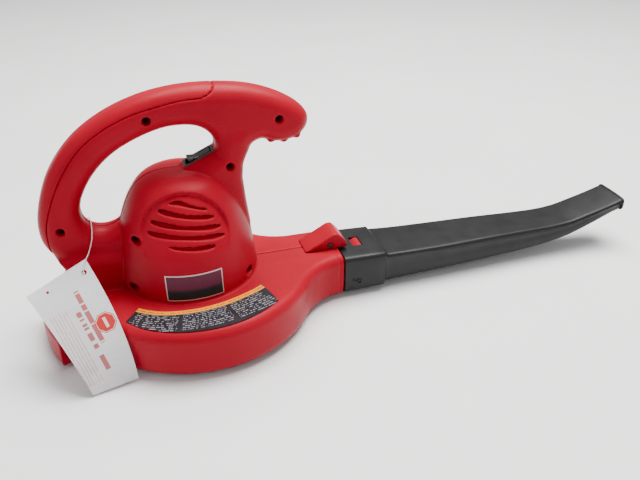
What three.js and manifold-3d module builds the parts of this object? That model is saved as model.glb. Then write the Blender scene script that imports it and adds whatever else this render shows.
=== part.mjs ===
// Hand-held corded electric leaf blower: a flat spiral fan housing under an upright motor dome, a D-shaped
// handle in the middle plane, and a slide-on blower tube with a flattened, upturned tip.
// Millimetres, +Z up, +X towards the tube's tip. While the parts are made, the fan's axis is x = y = 0 and
// the floor is z = 0; the last lines move the whole object so that its box stands centred on the origin.

import * as THREE from "three";
import { mergeVertices } from "three/addons/utils/BufferGeometryUtils.js";
import Module from "manifold-3d";

const wasm = await Module();
wasm.setup();

// ---- Driving dimensions ----

const WALL = 3; // moulded housing wall
const GAP = 0.3; // clearance between pieces that touch
const SPLIT = 0.15; // half of the gap between the two housing halves

const BASE_Z = 2.6; // underside of the housing halves
const VOLUTE_TOP = 50; // flat top of the fan housing
const SPIRAL_START = 85; // spiral radius at zero degrees
const SPIRAL_RISE = 0.107; // growth of the radius for each degree
const TONGUE_ANGLE = 40; // where the spiral starts
const SPIRAL_END = 330; // where the spiral runs out into the duct
const DUCT_END = 150; // x of the duct's mouth
const DUCT_HALF = 32.5; // half the duct's width
const HEEL_RADIUS = 140; // rear foot of the housing
const HEEL_TOP = 36;
const HEEL_FROM = 170; // its sweep, degrees
const HEEL_TO = 207.5;

const DOME = [[66, 44], [66, 56], [64, 75], [61.5, 92], [57.5, 108], [52.5, 122], [46.5, 134], [38, 145.5],
  [30, 151], [20, 154.6], [10, 156], [0, 156.2]];
const HANDLE_HALF = 17; // half the handle's width
const HANDLE_ROUND = 13; // rounding of the grip's edges
const COLUMN_HALF = 17.5; // half the width of the column that carries the switch
const PANEL_HALF = 10.4; // half the width of the raised block round the switch
const PILLAR_HALF = 22; // half the width of the pillar under the handle's rear end

const TUBE_MID_Z = 26; // height of the collar's axis
const COLLAR_START = 152;
const TUBE_WALL = 2.2;

const FAN_RADIUS = 76;
const FAN_BLADES = 9;
const INTAKE_RADIUS = 50;

const SHAFT_R = 4;
const SHAFT_SIDES = 16;
const STACK_R = 38; // outer radius of the field laminations
const STACK_LOW = 78;
const STACK_HIGH = 116;

const SCREW_HOLE_R = 3.6;
const SCREW_DEPTH = 12; // how far the screw heads sit below the surface

const PANEL_MID = [19.6, 162.6]; // middle of the sloping switch panel, x and z
const PANEL_TILT = 24; // slope of the switch panel, degrees
const PANEL_LOW = [4.8, 156]; // its ends, x and z
const PANEL_HIGH = [34.4, 169.2];
const ROCKER_TILT = 11; // the rocker rests this far from the panel's slope

const RED = 0xb81828;
const BLACK = 0x2b2b2d;
const STEEL = 0x9a9da1;
const COPPER = 0xb5652b;

// ---- Solids and geometry ----

const rad = THREE.MathUtils.degToRad;

// A closed three.js geometry as a manifold-3d solid.
function solid(geometry) {
  const bare = geometry.index ? geometry.toNonIndexed() : geometry.clone();
  bare.deleteAttribute("normal");
  bare.deleteAttribute("uv");
  const merged = mergeVertices(bare, 1e-4);
  const corners = new Uint32Array(merged.index.array);
  const make = (triVerts) =>
    new wasm.Manifold(new wasm.Mesh({ numProp: 3, vertProperties: merged.attributes.position.array, triVerts }));
  const made = make(corners);
  if (made.volume() > 0) return made;
  for (let i = 0; i < corners.length; i += 3) [corners[i + 1], corners[i + 2]] = [corners[i + 2], corners[i + 1]];
  return make(corners);
}

// A manifold-3d solid as a three.js geometry.
function geometryOf(made) {
  const { numProp, vertProperties, triVerts } = made.getMesh();
  const geometry = new THREE.BufferGeometry();
  const buffer = new THREE.InterleavedBuffer(vertProperties, numProp);
  geometry.setAttribute("position", new THREE.InterleavedBufferAttribute(buffer, 3, 0));
  geometry.setIndex(new THREE.BufferAttribute(triVerts, 1));
  const flat = geometry.toNonIndexed();
  const plain = new THREE.BufferGeometry();
  plain.setAttribute("position", new THREE.Float32BufferAttribute(flat.attributes.position.array.slice(), 3));
  plain.computeVertexNormals();
  return plain;
}

const union = (first, ...others) => others.reduce((sum, next) => sum.add(next), first);
const cut = (first, ...others) => others.reduce((rest, next) => rest.subtract(next), first);

const shapeOf = (points) => new THREE.Shape(points.map(([x, y]) => new THREE.Vector2(x, y)));

// Box between two corners.
function box(low, high) {
  const size = high.map((value, i) => value - low[i]);
  const geometry = new THREE.BoxGeometry(...size);
  return solid(geometry.translate(...low.map((value, i) => value + size[i] / 2)));
}

// Plan outline raised from z0 to z1, its edges rounded by `round`, drawn in by `inset`.
function raised(shape, z0, z1, round = 0, inset = 0, steps = 2) {
  const options = { depth: z1 - z0 - 2 * round, bevelEnabled: round > 0 || inset > 0, curveSegments: 24 };
  Object.assign(options, { bevelThickness: round, bevelSize: round, bevelOffset: -round - inset });
  options.bevelSegments = steps;
  return solid(new THREE.ExtrudeGeometry(shape, options).translate(0, 0, z0 + round));
}

// Outline in x and z, thickened along y from y0 to y1.
function upright(shape, y0, y1, round = 0, inset = 0, steps = 2) {
  const made = raised(shape, -y1, -y0, round, inset, steps);
  return made.rotate([90, 0, 0]);
}

// Cylinder along z.
function disc(radius, z0, z1, sides = 24, topRadius = radius) {
  const geometry = new THREE.CylinderGeometry(topRadius, radius, z1 - z0, sides);
  return solid(geometry.rotateX(Math.PI / 2).translate(0, 0, (z0 + z1) / 2));
}

// Cylinder along y through (x, z).
function crossPin(radius, x, z, y0, y1, sides = 12) {
  return solid(new THREE.CylinderGeometry(radius, radius, y1 - y0, sides).translate(x, (y0 + y1) / 2, z));
}

const ring = (outer, inner, z0, z1, sides = 24) =>
  cut(disc(outer, z0, z1, sides), disc(inner, z0 - 1, z1 + 1, sides));

// Profile of radius and height turned about the z axis.
function turned(profile, sides) {
  const points = profile.map(([r, z]) => new THREE.Vector2(r, z));
  return solid(new THREE.LatheGeometry(points, sides).rotateX(Math.PI / 2));
}

// Rounded rectangle round (0, mid) in y and z, as corner points counted the same way round for every size.
function roundedSection(half, halfHeight, mid, corner, steps = 3) {
  const points = [];
  const centres = [[1, 1], [-1, 1], [-1, -1], [1, -1]];
  centres.forEach(([sy, sz], quarter) => {
    for (let i = 0; i <= steps; i++) {
      const angle = (Math.PI / 2) * (quarter + i / steps);
      const y = sy * (half - corner) + corner * Math.cos(angle);
      points.push([y, mid + sz * (halfHeight - corner) + corner * Math.sin(angle)]);
    }
  });
  return points;
}

// Solid through sections that stand across x: stations hold x, half, halfHeight, mid and corner.
function lofted(stations) {
  const rings = stations.map((s) => roundedSection(s.half, s.halfHeight, s.mid, s.corner).map((p) => [s.x, ...p]));
  const around = rings[0].length;
  const positions = rings.flat(2);
  const faces = [];
  for (let r = 0; r + 1 < rings.length; r++) {
    for (let i = 0; i < around; i++) {
      const a = r * around + i;
      const b = r * around + ((i + 1) % around);
      faces.push(a, b, b + around, a, b + around, a + around);
    }
  }
  const last = (rings.length - 1) * around;
  for (let i = 1; i + 1 < around; i++) faces.push(0, i + 1, i, last, last + i, last + i + 1);
  const geometry = new THREE.BufferGeometry();
  geometry.setAttribute("position", new THREE.Float32BufferAttribute(positions, 3));
  geometry.setIndex(faces);
  return solid(geometry);
}

// ---- Fan housing outline ----

const onSpiral = (degrees, inset) => {
  const radius = SPIRAL_START + SPIRAL_RISE * degrees - inset;
  return [radius * Math.cos(rad(degrees)), radius * Math.sin(rad(degrees))];
};

const curve = (from, control, to, steps) =>
  new THREE.QuadraticBezierCurve(...[from, control, to].map(([x, y]) => new THREE.Vector2(x, y)))
    .getPoints(steps)
    .map((p) => [p.x, p.y]);

// Spiral, tongue and duct in plan, drawn in by `inset`.
function voluteOutline(inset, ductEnd = DUCT_END) {
  const half = DUCT_HALF - inset;
  const spiral = [];
  for (let angle = TONGUE_ANGLE + 10; angle < SPIRAL_END - 5; angle += 14) spiral.push(onSpiral(angle, inset));
  const tongue = curve([106, half + 1.5], [80 - inset, 38 - inset], onSpiral(TONGUE_ANGLE, inset), 4);
  const runOut = curve(onSpiral(SPIRAL_END, inset), [121 - inset, -37 + inset], [146, -half - 0.4], 5);
  return shapeOf([[ductEnd, -half], [ductEnd, half], ...tongue, ...spiral, ...runOut]);
}

// Points of an arc about the origin, from one angle to another in degrees.
const arc = (radius, from, to, steps) =>
  Array.from({ length: steps + 1 }, (_, i) => {
    const angle = rad(from + ((to - from) * i) / steps);
    return [radius * Math.cos(angle), radius * Math.sin(angle)];
  });

// Part of a ring between two radii and two angles.
const sector = (inner, outer, from, to, steps) =>
  shapeOf([...arc(outer, from, to, steps), ...arc(inner, to, from, steps)]);

// ---- Handle outline, in x and z ----

const smooth = (points, steps) =>
  new THREE.CatmullRomCurve3(points.map(([x, z]) => new THREE.Vector3(x, z, 0)), false, "centripetal")
    .getPoints(steps)
    .map((p) => [p.x, p.y]);

const HANDLE_OUTER = [[57, 141], [59, 156], [66, 170], [76, 175.5], [88, 172], [101, 171.5], [113, 175], [121, 184],
  [121.5, 194], [114, 204], [96, 215.5], [69, 225.5], [37, 230], [4, 230], [-28, 224.5], [-60, 212], [-87, 193.5],
  [-109, 167], [-122, 138], [-126.5, 118], [-125.5, 101], [-120, 89], [-112.5, 79], [-107, 66], [-101, 49]];
const HANDLE_INNER = [PANEL_HIGH, [34.6, 175], [33.2, 181.5], [29.3, 187.5], [22, 193], [12, 196], [-8, 196],
  [-33, 188.5], [-54, 177.5], [-70, 163.5], [-81.5, 147.5], [-88, 132], [-88, 119], [-82, 110], [-72, 106.5],
  [-61, 108.5], [-52, 115], [-44, 124]];

function handleShape() {
  const outer = smooth(HANDLE_OUTER, 42);
  const shape = shapeOf([...outer, [-60, 49], [-52, 60], [40, 60], [61, 95]]);
  const inner = smooth(HANDLE_INNER, 26);
  shape.holes.push(shapeOf([...inner, [-32, 138], [-12, 146], [4, 149], PANEL_LOW]));
  return shape;
}

const COLUMN = shapeOf([[66, 52], [62, 92], [58.2, 118], [56, 141], [57.5, 156], [63, 168], [63, 186], [46, 186],
  [40, 176], [37, 166], [22, 156], [8, 150], [0, 140], [0, 52]]);
const PANEL_BLOCK = shapeOf([PANEL_LOW, PANEL_HIGH, [46, 172], [46, 156], [20, 146], [4, 146]]);

// ---- Housing: solid outside, hollow inside, screw bosses ----

const SCREWS = [
  { name: "screw_grip", x: -23, z: 207, y: -HANDLE_HALF },
  { name: "screw_nose", x: 92, z: 196, y: -HANDLE_HALF },
  { name: "screw_column", x: 45, z: 156.8, y: -COLUMN_HALF },
  { name: "screw_rear", x: -108, z: 114, y: -HANDLE_HALF },
  { name: "screw_dome_upper", x: -45.6, z: 105, y: -35 },
  { name: "screw_dome_rear", x: -53.3, z: 58.7, y: -36 },
  { name: "screw_dome_front", x: 52.3, z: 57.8, y: -38 },
];

const domeInner = DOME.map(([r, z]) => [Math.max(r - WALL, 0), z - (z > 140 ? WALL : 0)]);
const closedDome = (profile, low) => [[0, low], [profile[0][0], low], ...profile.slice(1)];

const heel = (inner, outer, less) => sector(inner, outer, HEEL_FROM + less, HEEL_TO - less, 6);
const pillarShape = shapeOf([[-114, 84], [-109.5, 74], [-105.5, 62], [-102, 47], [-58, 47], [-54, 84]]);

const outside = union(
  raised(voluteOutline(0), BASE_Z, VOLUTE_TOP, 7),
  box([DUCT_END - 8, -DUCT_HALF + 2.2, BASE_Z + 3], [DUCT_END, DUCT_HALF - 2.2, VOLUTE_TOP - 2]),
  raised(heel(92, HEEL_RADIUS, 0), BASE_Z, HEEL_TOP, 6, 0),
  turned(closedDome(DOME, 44), 28),
  upright(handleShape(), -HANDLE_HALF, HANDLE_HALF, HANDLE_ROUND),
  upright(COLUMN, -COLUMN_HALF, COLUMN_HALF, 8, 0, 2),
  upright(PANEL_BLOCK, -PANEL_HALF, PANEL_HALF, 1.2, 0, 1),
  upright(pillarShape, -PILLAR_HALF, PILLAR_HALF, 5, 0, 2),
);

const handleHollow = upright(handleShape(), WALL - HANDLE_HALF, HANDLE_HALF - WALL, HANDLE_ROUND - WALL, WALL, 1);
const hollow = union(
  raised(voluteOutline(WALL, DUCT_END + 1), BASE_Z - 1, VOLUTE_TOP - WALL, 0),
  raised(heel(112, HEEL_RADIUS - WALL, 1.4), BASE_Z + 3, HEEL_TOP - WALL),
  turned(closedDome(domeInner, 40), 20),
  handleHollow,
  upright(COLUMN, WALL - COLUMN_HALF, COLUMN_HALF - WALL, 0.01, WALL, 1),
  upright(pillarShape, WALL - PILLAR_HALF, PILLAR_HALF - WALL, 0.01, WALL, 1),
);

// Spigot that the tube's collar slides over.
const SPIGOT_END = 184;
const spigotStation = (x, less) => ({ x, half: 29.2 - less, halfHeight: 18.9 - less, mid: TUBE_MID_Z, corner: 5 });
const spigot = cut(
  lofted([spigotStation(DUCT_END - 4, 0), spigotStation(SPIGOT_END, 0)]),
  lofted([spigotStation(DUCT_END - 5, 2.6), spigotStation(SPIGOT_END + 1, 2.6)]),
);

// Cooling slots right through the dome, in x and z: blunt at the rear and drawn out towards the tube.
const LOUVRES = [
  [[-14.8, 137.2], [-11, 138.8], [-6.7, 139.7], [-2, 138.4], [1.8, 136.4], [10, 132.9], [18.1, 129.7], [17.4, 128.9],
    [7.8, 132], [-3.6, 135.4], [-11, 136.8]],
  [[-22.4, 133.2], [-0.9, 128.6], [22.6, 123.1], [22.3, 121.3], [-1.4, 125.5], [-22.8, 130.1], [-23.8, 131.6]],
  [[-29.9, 124.1], [-2.3, 119.7], [27.8, 114], [27.2, 112], [-2.8, 116.8], [-30.3, 120.8], [-31.3, 122.4]],
  [[-33.9, 114.9], [-3.5, 111.8], [30.4, 106.1], [29.5, 104.2], [-3.9, 108.8], [-33.9, 111.7], [-35, 113.3]],
  [[-19.2, 104], [-0.1, 102.7], [20.8, 100.3], [18.7, 98.1], [-0.5, 99.4], [-18.4, 103]],
];
const louvreCuts = LOUVRES.map((outline) => upright(shapeOf(outline), -70, 70));

const bosses = SCREWS.map(({ x, z, y }) => crossPin(5.6, x, z, y - 4, -y + 4, 8).intersect(outside));
const screwHoles = SCREWS.map(({ x, z, y }) => crossPin(SCREW_HOLE_R, x, z, -80, y + SCREW_DEPTH, 10));
const screwShanks = SCREWS.map(({ x, z, y }) => crossPin(2.05, x, z, y, 12, 8));

// Sloping pieces of the switch turn about the panel's middle: u runs up the slope, n stands off it.
const onPanel = (made) => made.rotate([0, -PANEL_TILT, 0]).translate([PANEL_MID[0], 0, PANEL_MID[1]]);
const switchHole = onPanel(box([-14, -7.3, -17], [14, 7.3, 8]));

const inletHole = box([-125, -15.4, 53.6], [-96, 15.4, 80.4]);
const latchHole = box([159, -9, 36], [181.4, 9, 60]);

const shell = cut(
  union(cut(outside, hollow), ...bosses, spigot),
  ...louvreCuts, ...screwHoles, ...screwShanks, switchHole, inletHole, latchHole,
);

// The grip cover is the part of the shell above and behind this seam.
const SEAM = smooth([[41, 236], [34, 225.5], [25, 222], [6, 221], [-12, 218], [-36, 212.5], [-60, 202], [-82, 186],
  [-101, 161], [-114, 134], [-119, 116], [-119.5, 100], [-118, 86]], 34);
const aboveSeam = (shift) => {
  const lower = SEAM.map(([x, z]) => [x - shift * 0.3, z + shift]);
  return upright(shapeOf([...lower, [-150, 84], [-150, 250], [41, 250]]), -30, 30);
};

const nearHalf = box([-200, -200, -10], [250, -SPLIT, 300]);
const farHalf = box([-200, SPLIT, -10], [250, 200, 300]);
const gripCover = shell.intersect(aboveSeam(0.3));
const belowSeam = cut(shell, aboveSeam(-0.1));

// ---- Assembly helpers ----

const blower = new THREE.Group();

function add(name, made, color, roughness = 0.45, metalness = 0) {
  const material = new THREE.MeshStandardMaterial({ color, roughness, metalness });
  const mesh = new THREE.Mesh(geometryOf(made), material);
  mesh.name = name;
  blower.add(mesh);
  return mesh;
}

// The largest connected body of a solid: cutting a shell in two can leave loose slivers.
function mainBody(made) {
  const bodies = made.decompose();
  bodies.sort((a, b) => b.volume() - a.volume());
  return bodies[0];
}

// ---- Housing pieces ----

add("housing_right", mainBody(belowSeam.intersect(nearHalf)), RED);
add("housing_left", mainBody(belowSeam.intersect(farHalf)), RED);
add("grip_cover", mainBody(gripCover), RED);

for (const { name, x, z, y } of SCREWS) {
  const head = crossPin(3.3, x, z, y + SCREW_DEPTH - 3, y + SCREW_DEPTH - GAP);
  const socket = crossPin(1.5, x, z, y + SCREW_DEPTH - 4, y + SCREW_DEPTH - 1.5, 6);
  add(name, cut(union(head, crossPin(1.7, x, z, y + SCREW_DEPTH - 1, 10, 8)), socket), STEEL, 0.35, 0.9);
}

// ---- Base: plate, intake guard and feet ----

const FEET = [[62, -58], [50, 58], [-62, 58], [-62, -58]];
const basePlate = cut(
  raised(voluteOutline(WALL + 0.5, DUCT_END - 2), BASE_Z + 0.6, BASE_Z + 3.6, 0),
  disc(INTAKE_RADIUS, 0, 10, 32),
);
add("base_plate", basePlate, BLACK, 0.5);

function intakeGuard() {
  let guard = ring(INTAKE_RADIUS - 0.6, INTAKE_RADIUS - 3, BASE_Z, BASE_Z + 3.4, 32);
  for (const radius of [14, 26, 38]) guard = guard.add(ring(radius, radius - 2, BASE_Z, BASE_Z + 2.4, 16));
  for (let i = 0; i < 4; i++) {
    const bar = box([-INTAKE_RADIUS + 2, -1.3, BASE_Z], [INTAKE_RADIUS - 2, 1.3, BASE_Z + 3]);
    guard = guard.add(bar.rotate([0, 0, 45 * i]));
  }
  return guard;
}
add("intake_guard", intakeGuard(), BLACK, 0.5);

FEET.forEach(([x, y], i) => {
  const pad = disc(8, 0, BASE_Z + 0.3, 16, 9).translate([x, y, 0]);
  add(`foot_${i + 1}`, cut(pad, disc(4, -1, 1.6, 10).translate([x, y, 0])), 0x1c1c1c, 0.85);
});

// ---- Motor ----

const shaftBore = (z0, z1) => disc(SHAFT_R + 0.4, z0, z1, SHAFT_SIDES);

const plate = union(
  disc(61.4, VOLUTE_TOP - 2.6, VOLUTE_TOP + 0.4, 36),
  ring(14.4, 11.4, VOLUTE_TOP, 59, 20),
  ...[45, 135, 225, 315].map((angle) =>
    disc(4, VOLUTE_TOP, STACK_LOW - GAP, 10).translate([34 * Math.cos(rad(angle)), 34 * Math.sin(rad(angle)), 0])),
);
const postCuts = ring(46, 39.5, VOLUTE_TOP + 2, 80, 32);
add("motor_plate", mainBody(cut(plate, disc(7, 0, 80, 20), postCuts)), BLACK, 0.55);

const pole = (side) => box([side > 0 ? 10 : -32.4, -16, STACK_LOW], [side > 0 ? 32.4 : -10, 16, STACK_HIGH]);
const stack = cut(
  union(ring(STACK_R, 31.8, STACK_LOW, STACK_HIGH, 40), pole(1), pole(-1)),
  disc(23.6, STACK_LOW - 1, STACK_HIGH + 1, 40),
);
add("field_stack", stack, 0x55565a, 0.5, 0.8);

for (const [name, side] of [["field_coil_front", 1], ["field_coil_rear", -1]]) {
  const coil = cut(box([17.4, -20, 72.5], [23.3, 20, 121.5]), box([10, -16.4, 77.6], [30, 16.4, 116.4]));
  add(name, side > 0 ? coil : coil.rotate([0, 0, 180]), COPPER, 0.4, 0.6);
}

add("shaft", disc(SHAFT_R, 9, 147, SHAFT_SIDES), STEEL, 0.25, 1);

function armatureCore() {
  let core = union(disc(22.4, 80, 114, 24), disc(17, 74, 120, 16));
  for (let i = 0; i < 12; i++) core = core.subtract(box([18.5, -0.9, 79], [24, 0.9, 115]).rotate([0, 0, 30 * i]));
  return core.subtract(shaftBore(70, 125));
}
add("armature", armatureCore(), 0x6b4a32, 0.5, 0.5);

function commutatorRing() {
  let made = ring(11, SHAFT_R + 0.4, 121.6, 134, 24);
  for (let i = 0; i < 12; i++) made = made.subtract(box([10.2, -0.4, 124], [12, 0.4, 135]).rotate([0, 0, 30 * i]));
  return made.subtract(shaftBore(120, 136));
}
add("commutator", commutatorRing(), COPPER, 0.3, 0.9);

for (const [name, side] of [["near", -1], ["far", 1]]) {
  const sleeve = cut(box([-5.2, 13, 123], [5.2, 31, 133.4]), box([-3.6, 12, 124.6], [3.6, 29, 131.8]));
  const carbon = box([-3.2, 11.4, 125], [3.2, 24, 131.4]);
  const turn = side > 0 ? 0 : 180;
  add(`brush_holder_${name}`, sleeve.rotate([0, 0, turn]), BLACK, 0.5);
  add(`carbon_brush_${name}`, carbon.rotate([0, 0, turn]), 0x29292b, 0.7, 0.2);
}

const bracket = union(
  disc(34, 134.6, 137.4, 28),
  ring(14.4, 11.4, 137, 145.4, 20),
  ...[0, 180].map((angle) => box([28, -5, 117], [33.4, 5, 137]).rotate([0, 0, angle])),
);
add("motor_bracket", cut(bracket, disc(6.5, 130, 150, 20), disc(11.4, 137.4, 150, 20)), BLACK, 0.55);

for (const [name, low, high] of [["bearing_lower", 51, 58.6], ["bearing_upper", 137.7, 144.8]]) {
  add(name, cut(disc(11, low, high, 24), shaftBore(low - 1, high + 1)), STEEL, 0.3, 1);
}

function bladed(count, blade, hub) {
  let made = hub;
  for (let i = 0; i < count; i++) made = made.add(blade.rotate([0, 0, (360 / count) * i]));
  return made;
}

const coolingBlade = box([6, -0.8, 62], [27, 0.8, 71]);
const coolingHub = union(disc(27.5, 61.4, 63.2, 24), disc(9, 61.4, 71, 16));
add("cooling_fan", cut(bladed(8, coolingBlade, coolingHub), shaftBore(60, 73)), 0x3a3a3c, 0.5);

// ---- Blower fan, under the motor plate ----

function fanBlade() {
  const pressureSide = curve([26, 0], [48, -22], [73.4, -18], 4);
  const suctionSide = curve([73, -16.2], [48, -19.6], [27, 1.8], 4);
  return raised(shapeOf([...pressureSide, ...suctionSide]), 11, 39);
}
const fanHub = union(disc(FAN_RADIUS, 38.4, 40.6, 36), disc(11, 16, 45.6, 16));
add("impeller", cut(bladed(FAN_BLADES, fanBlade(), fanHub), shaftBore(5, 60)), 0x2f3033, 0.5);
add("fan_washer", cut(disc(9, 14.2, 15.7, 20), shaftBore(10, 20)), STEEL, 0.3, 1);
add("fan_nut", cut(disc(7, 9.6, 13.9, 6), shaftBore(5, 20)), STEEL, 0.3, 1);

// ---- Switch ----

const PIVOT_DEPTH = 3; // how far the rocker's pivot lies under the panel
const PIVOT_X = PANEL_MID[0] + PIVOT_DEPTH * Math.sin(rad(PANEL_TILT));
const PIVOT_Z = PANEL_MID[1] - PIVOT_DEPTH * Math.cos(rad(PANEL_TILT));
const switchCase = cut(
  union(box([-15.6, -8.2, 0.4], [15.6, 8.2, 2.4]), box([-13.6, -6.9, -12], [13.6, 6.9, 1])),
  box([-12.8, -5.2, -10.3], [12.8, 5.2, 4]),
);
const tabs = [-8, 4].map((u) => box([u, -2.4, -18], [u + 1, 2.4, -11]));
add("switch_case", onPanel(union(switchCase, ...tabs)), 0x232325, 0.45);

const rockerShape = shapeOf([[-11, 6.9], [-5.5, 5.8], [0, 4.8], [5.5, 5.8], [11, 6.9], [10.6, 0.5], [4, -5.4],
  [-4, -5.4], [-10.6, 0.5]]);
const rockerBody = upright(rockerShape, -4.8, 4.8).rotate([0, ROCKER_TILT - PANEL_TILT, 0]);
add("rocker", rockerBody.translate([PIVOT_X, 0, PIVOT_Z]), 0x18181a, 0.35);

// ---- Power inlet in the rear of the pillar ----

const inletCup = cut(
  box([-108, -15, 54], [-82, 15, 80]),
  box([-112, -12.6, 56.4], [-86, 12.6, 77.6]),
  ...[-6.35, 6.35].map((y) => box([-88, y - 1.2, 63.4], [-80, y + 1.2, 70.6])),
);
add("power_inlet", inletCup, BLACK, 0.5);
for (const [name, y] of [["blade_live", -6.35], ["blade_neutral", 6.35]]) {
  add(name, box([-104, y - 0.75, 63.85], [-78, y + 0.75, 70.15]), 0xb89b5a, 0.3, 1);
}

// ---- Leads inside the housing ----

function lead(name, points, color) {
  const path = new THREE.CatmullRomCurve3(points.map((p) => new THREE.Vector3(...p)), false, "centripetal");
  const section = new THREE.Shape();
  section.absarc(0, 0, 1.3, 0, 2 * Math.PI, false);
  const tube = new THREE.ExtrudeGeometry(section, { extrudePath: path, steps: 24, curveSegments: 3 });
  add(name, solid(tube), color, 0.6);
}
lead("lead_inlet_to_switch", [[-76.2, -6.35, 67], [-70, -7, 69], [-62, -8, 75], [-54, -10, 80], [-50, -17, 86],
  [-43, -31, 93], [-28, -44, 98], [-8, -51, 101], [14, -49, 104], [31, -38, 110], [40, -22, 118], [44, -10, 127],
  [41, -6, 133], [36.6, -2, 138], [33.6, 0, 142.2], [31.6, 0, 145.6]], 0x1b1b1b);
lead("lead_inlet_to_brush", [[-76.2, 6.35, 67], [-70, 7, 69], [-62, 8, 75], [-54, 10, 80], [-50, 17, 87],
  [-42, 32, 95], [-27, 42, 106], [-12, 41, 117], [-3, 37, 125], [0, 32.2, 128.4]], 0xdddddd);
lead("lead_switch_to_coil", [[20.84, 0, 141.1], [24, -6, 140], [28, -13, 139.8], [31, -20, 138.4], [29, -26.4, 133],
  [25, -24, 127], [20.6, -17.5, 122.8]], 0x1b1b1b);

// ---- Tube latch ----

const wedge = shapeOf([[112.4, 50.4], [122, 56.4], [132, 62], [144.5, 69.6], [148.5, 70.2],
  [152, 67.6], [159.4, 56], [160, 50.4]]);
const latchPin = crossPin(SCREW_HOLE_R - 0.6, 142, 54.4, -30, 30);
const wedgePocket = box([118, -11, 40], [155.4, 11, 54]).subtract(box([138, -12, 40], [146, 12, 60]));
add("latch_cover", cut(upright(wedge, -14.5, 14.5, 0.9, 0, 1), latchPin, wedgePocket), RED);
add("latch_cover_pin", crossPin(2.6, 142, 54.4, -13.6, 13.6), STEEL, 0.35, 0.9);

const LUG_LOW = 39;
const button = union(box([160, -8, LUG_LOW], [181, 8, 41.4]), box([168.6, -8, 41], [178, 8, 46.6]));
add("latch_button", button, RED);

// ---- Blower tube ----

const TUBE = [
  { x: COLLAR_START, half: 32, halfHeight: 21.5, mid: 26, corner: 7 },
  { x: 196.5, half: 31.6, halfHeight: 20, mid: 25.8, corner: 7 },
  { x: 200, half: 29.8, halfHeight: 18, mid: 25.2, corner: 5 },
  { x: 290, half: 27, halfHeight: 16.4, mid: 24.9, corner: 4.5 },
  { x: 372, half: 23.6, halfHeight: 13.6, mid: 25.8, corner: 4 },
  { x: 400, half: 22.8, halfHeight: 12, mid: 27.2, corner: 3.6 },
  { x: 424, half: 22.3, halfHeight: 10.6, mid: 30.6, corner: 3.4 },
  { x: 446, half: 22, halfHeight: 9.4, mid: 37, corner: 3.2 },
  { x: 466, half: 21.9, halfHeight: 7.8, mid: 43.6, corner: 3 },
  { x: 486, half: 21.8, halfHeight: 6.4, mid: 51, corner: 2.8 },
];
const thinner = ({ x, half, halfHeight, mid, corner }) =>
  ({ x, half: half - TUBE_WALL, halfHeight: halfHeight - TUBE_WALL, mid, corner: corner * 0.6 });
const lip = (x, more) => ({ x, half: 21.8 + more, halfHeight: 6.4 + more, mid: 51 + (x - 486) * 0.36, corner: 3 });
const bore = TUBE.map(thinner);
bore[0] = { ...bore[0], x: COLLAR_START - 1 };
bore[bore.length - 1] = { ...bore[bore.length - 1], x: 490, mid: 52.4 };
const tubeBody = union(lofted(TUBE), lofted([lip(484, 0), lip(485, 0.8), lip(488, 0.8), lip(489, 0.2)]));
const window = box([167, -10.5, 40], [179.6, 10.5, 60]);
add("blower_tube", cut(tubeBody, lofted(bore), window), BLACK, 0.42);

// ---- Labels ----

// Corners of the label's outer and inner edges: angle in degrees and radius.
const LABEL_OUTER = [[229.3, 100], [239.4, 103.6], [250, 105.7], [260, 107], [272, 108.2], [285, 109.2], [297, 109.4],
  [309.2, 109.2]];
const LABEL_INNER = [[317.2, 81.4], [300, 76.5], [283, 75], [271.5, 75.2], [257, 76.4], [243, 78.4], [228.5, 79.3]];
const fromPolar = ([angle, radius]) => [radius * Math.cos(rad(angle)), radius * Math.sin(rad(angle))];
const labelShape = shapeOf([...LABEL_OUTER, ...LABEL_INNER].map(fromPolar));
add("caution_label", raised(labelShape, VOLUTE_TOP + 0.2, VOLUTE_TOP + 0.6), 0x2a2a2a, 0.4);

const badgeSection = [[66.3, 50], [66.9, 50], [66.9, 56.1], [64.9, 75.1], [64.3, 80], [63.7, 80], [64.3, 75],
  [66.3, 56], [66.3, 50]];
const badge = turned(badgeSection, 72).intersect(box([-27, -80, 54.2], [24, -50, 78.8]));
add("badge_plate", mainBody(badge), 0x8a2438, 0.3, 0.4);

// ---- Hang tag on its tie ----

const TAG_CORNERS = [[-143, -48, 74], [-91, -30, 92], [-62, -97, 3.4], [-101, -106, 2]];
const TAG_BULGE = [6, -18, 9]; // how far the curled card stands off the flat between its corners
const TAG_THICK = 0.8;
const TAG_STEPS = [5, 16]; // across the card and down it
const TAG_NORMAL = new THREE.Vector3(0.089, -0.82, 0.564).normalize();
const TAG_HOLES = [[0.88, 0.075, 2.3], [0.28, 0.06, 1.3]]; // u, v and radius

// Point of the curled card: u runs across its top edge, v down its length.
function onTag(u, v) {
  const [topRear, topFront, lowFront, lowRear] = TAG_CORNERS.map((corner) => new THREE.Vector3(...corner));
  const top = topRear.lerp(topFront, u);
  const low = lowRear.lerp(lowFront, u);
  const stand = 4 * v * (1 - v) * (0.6 + 0.4 * u);
  return top.lerp(low, v).add(new THREE.Vector3(...TAG_BULGE).multiplyScalar(stand));
}

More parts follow.
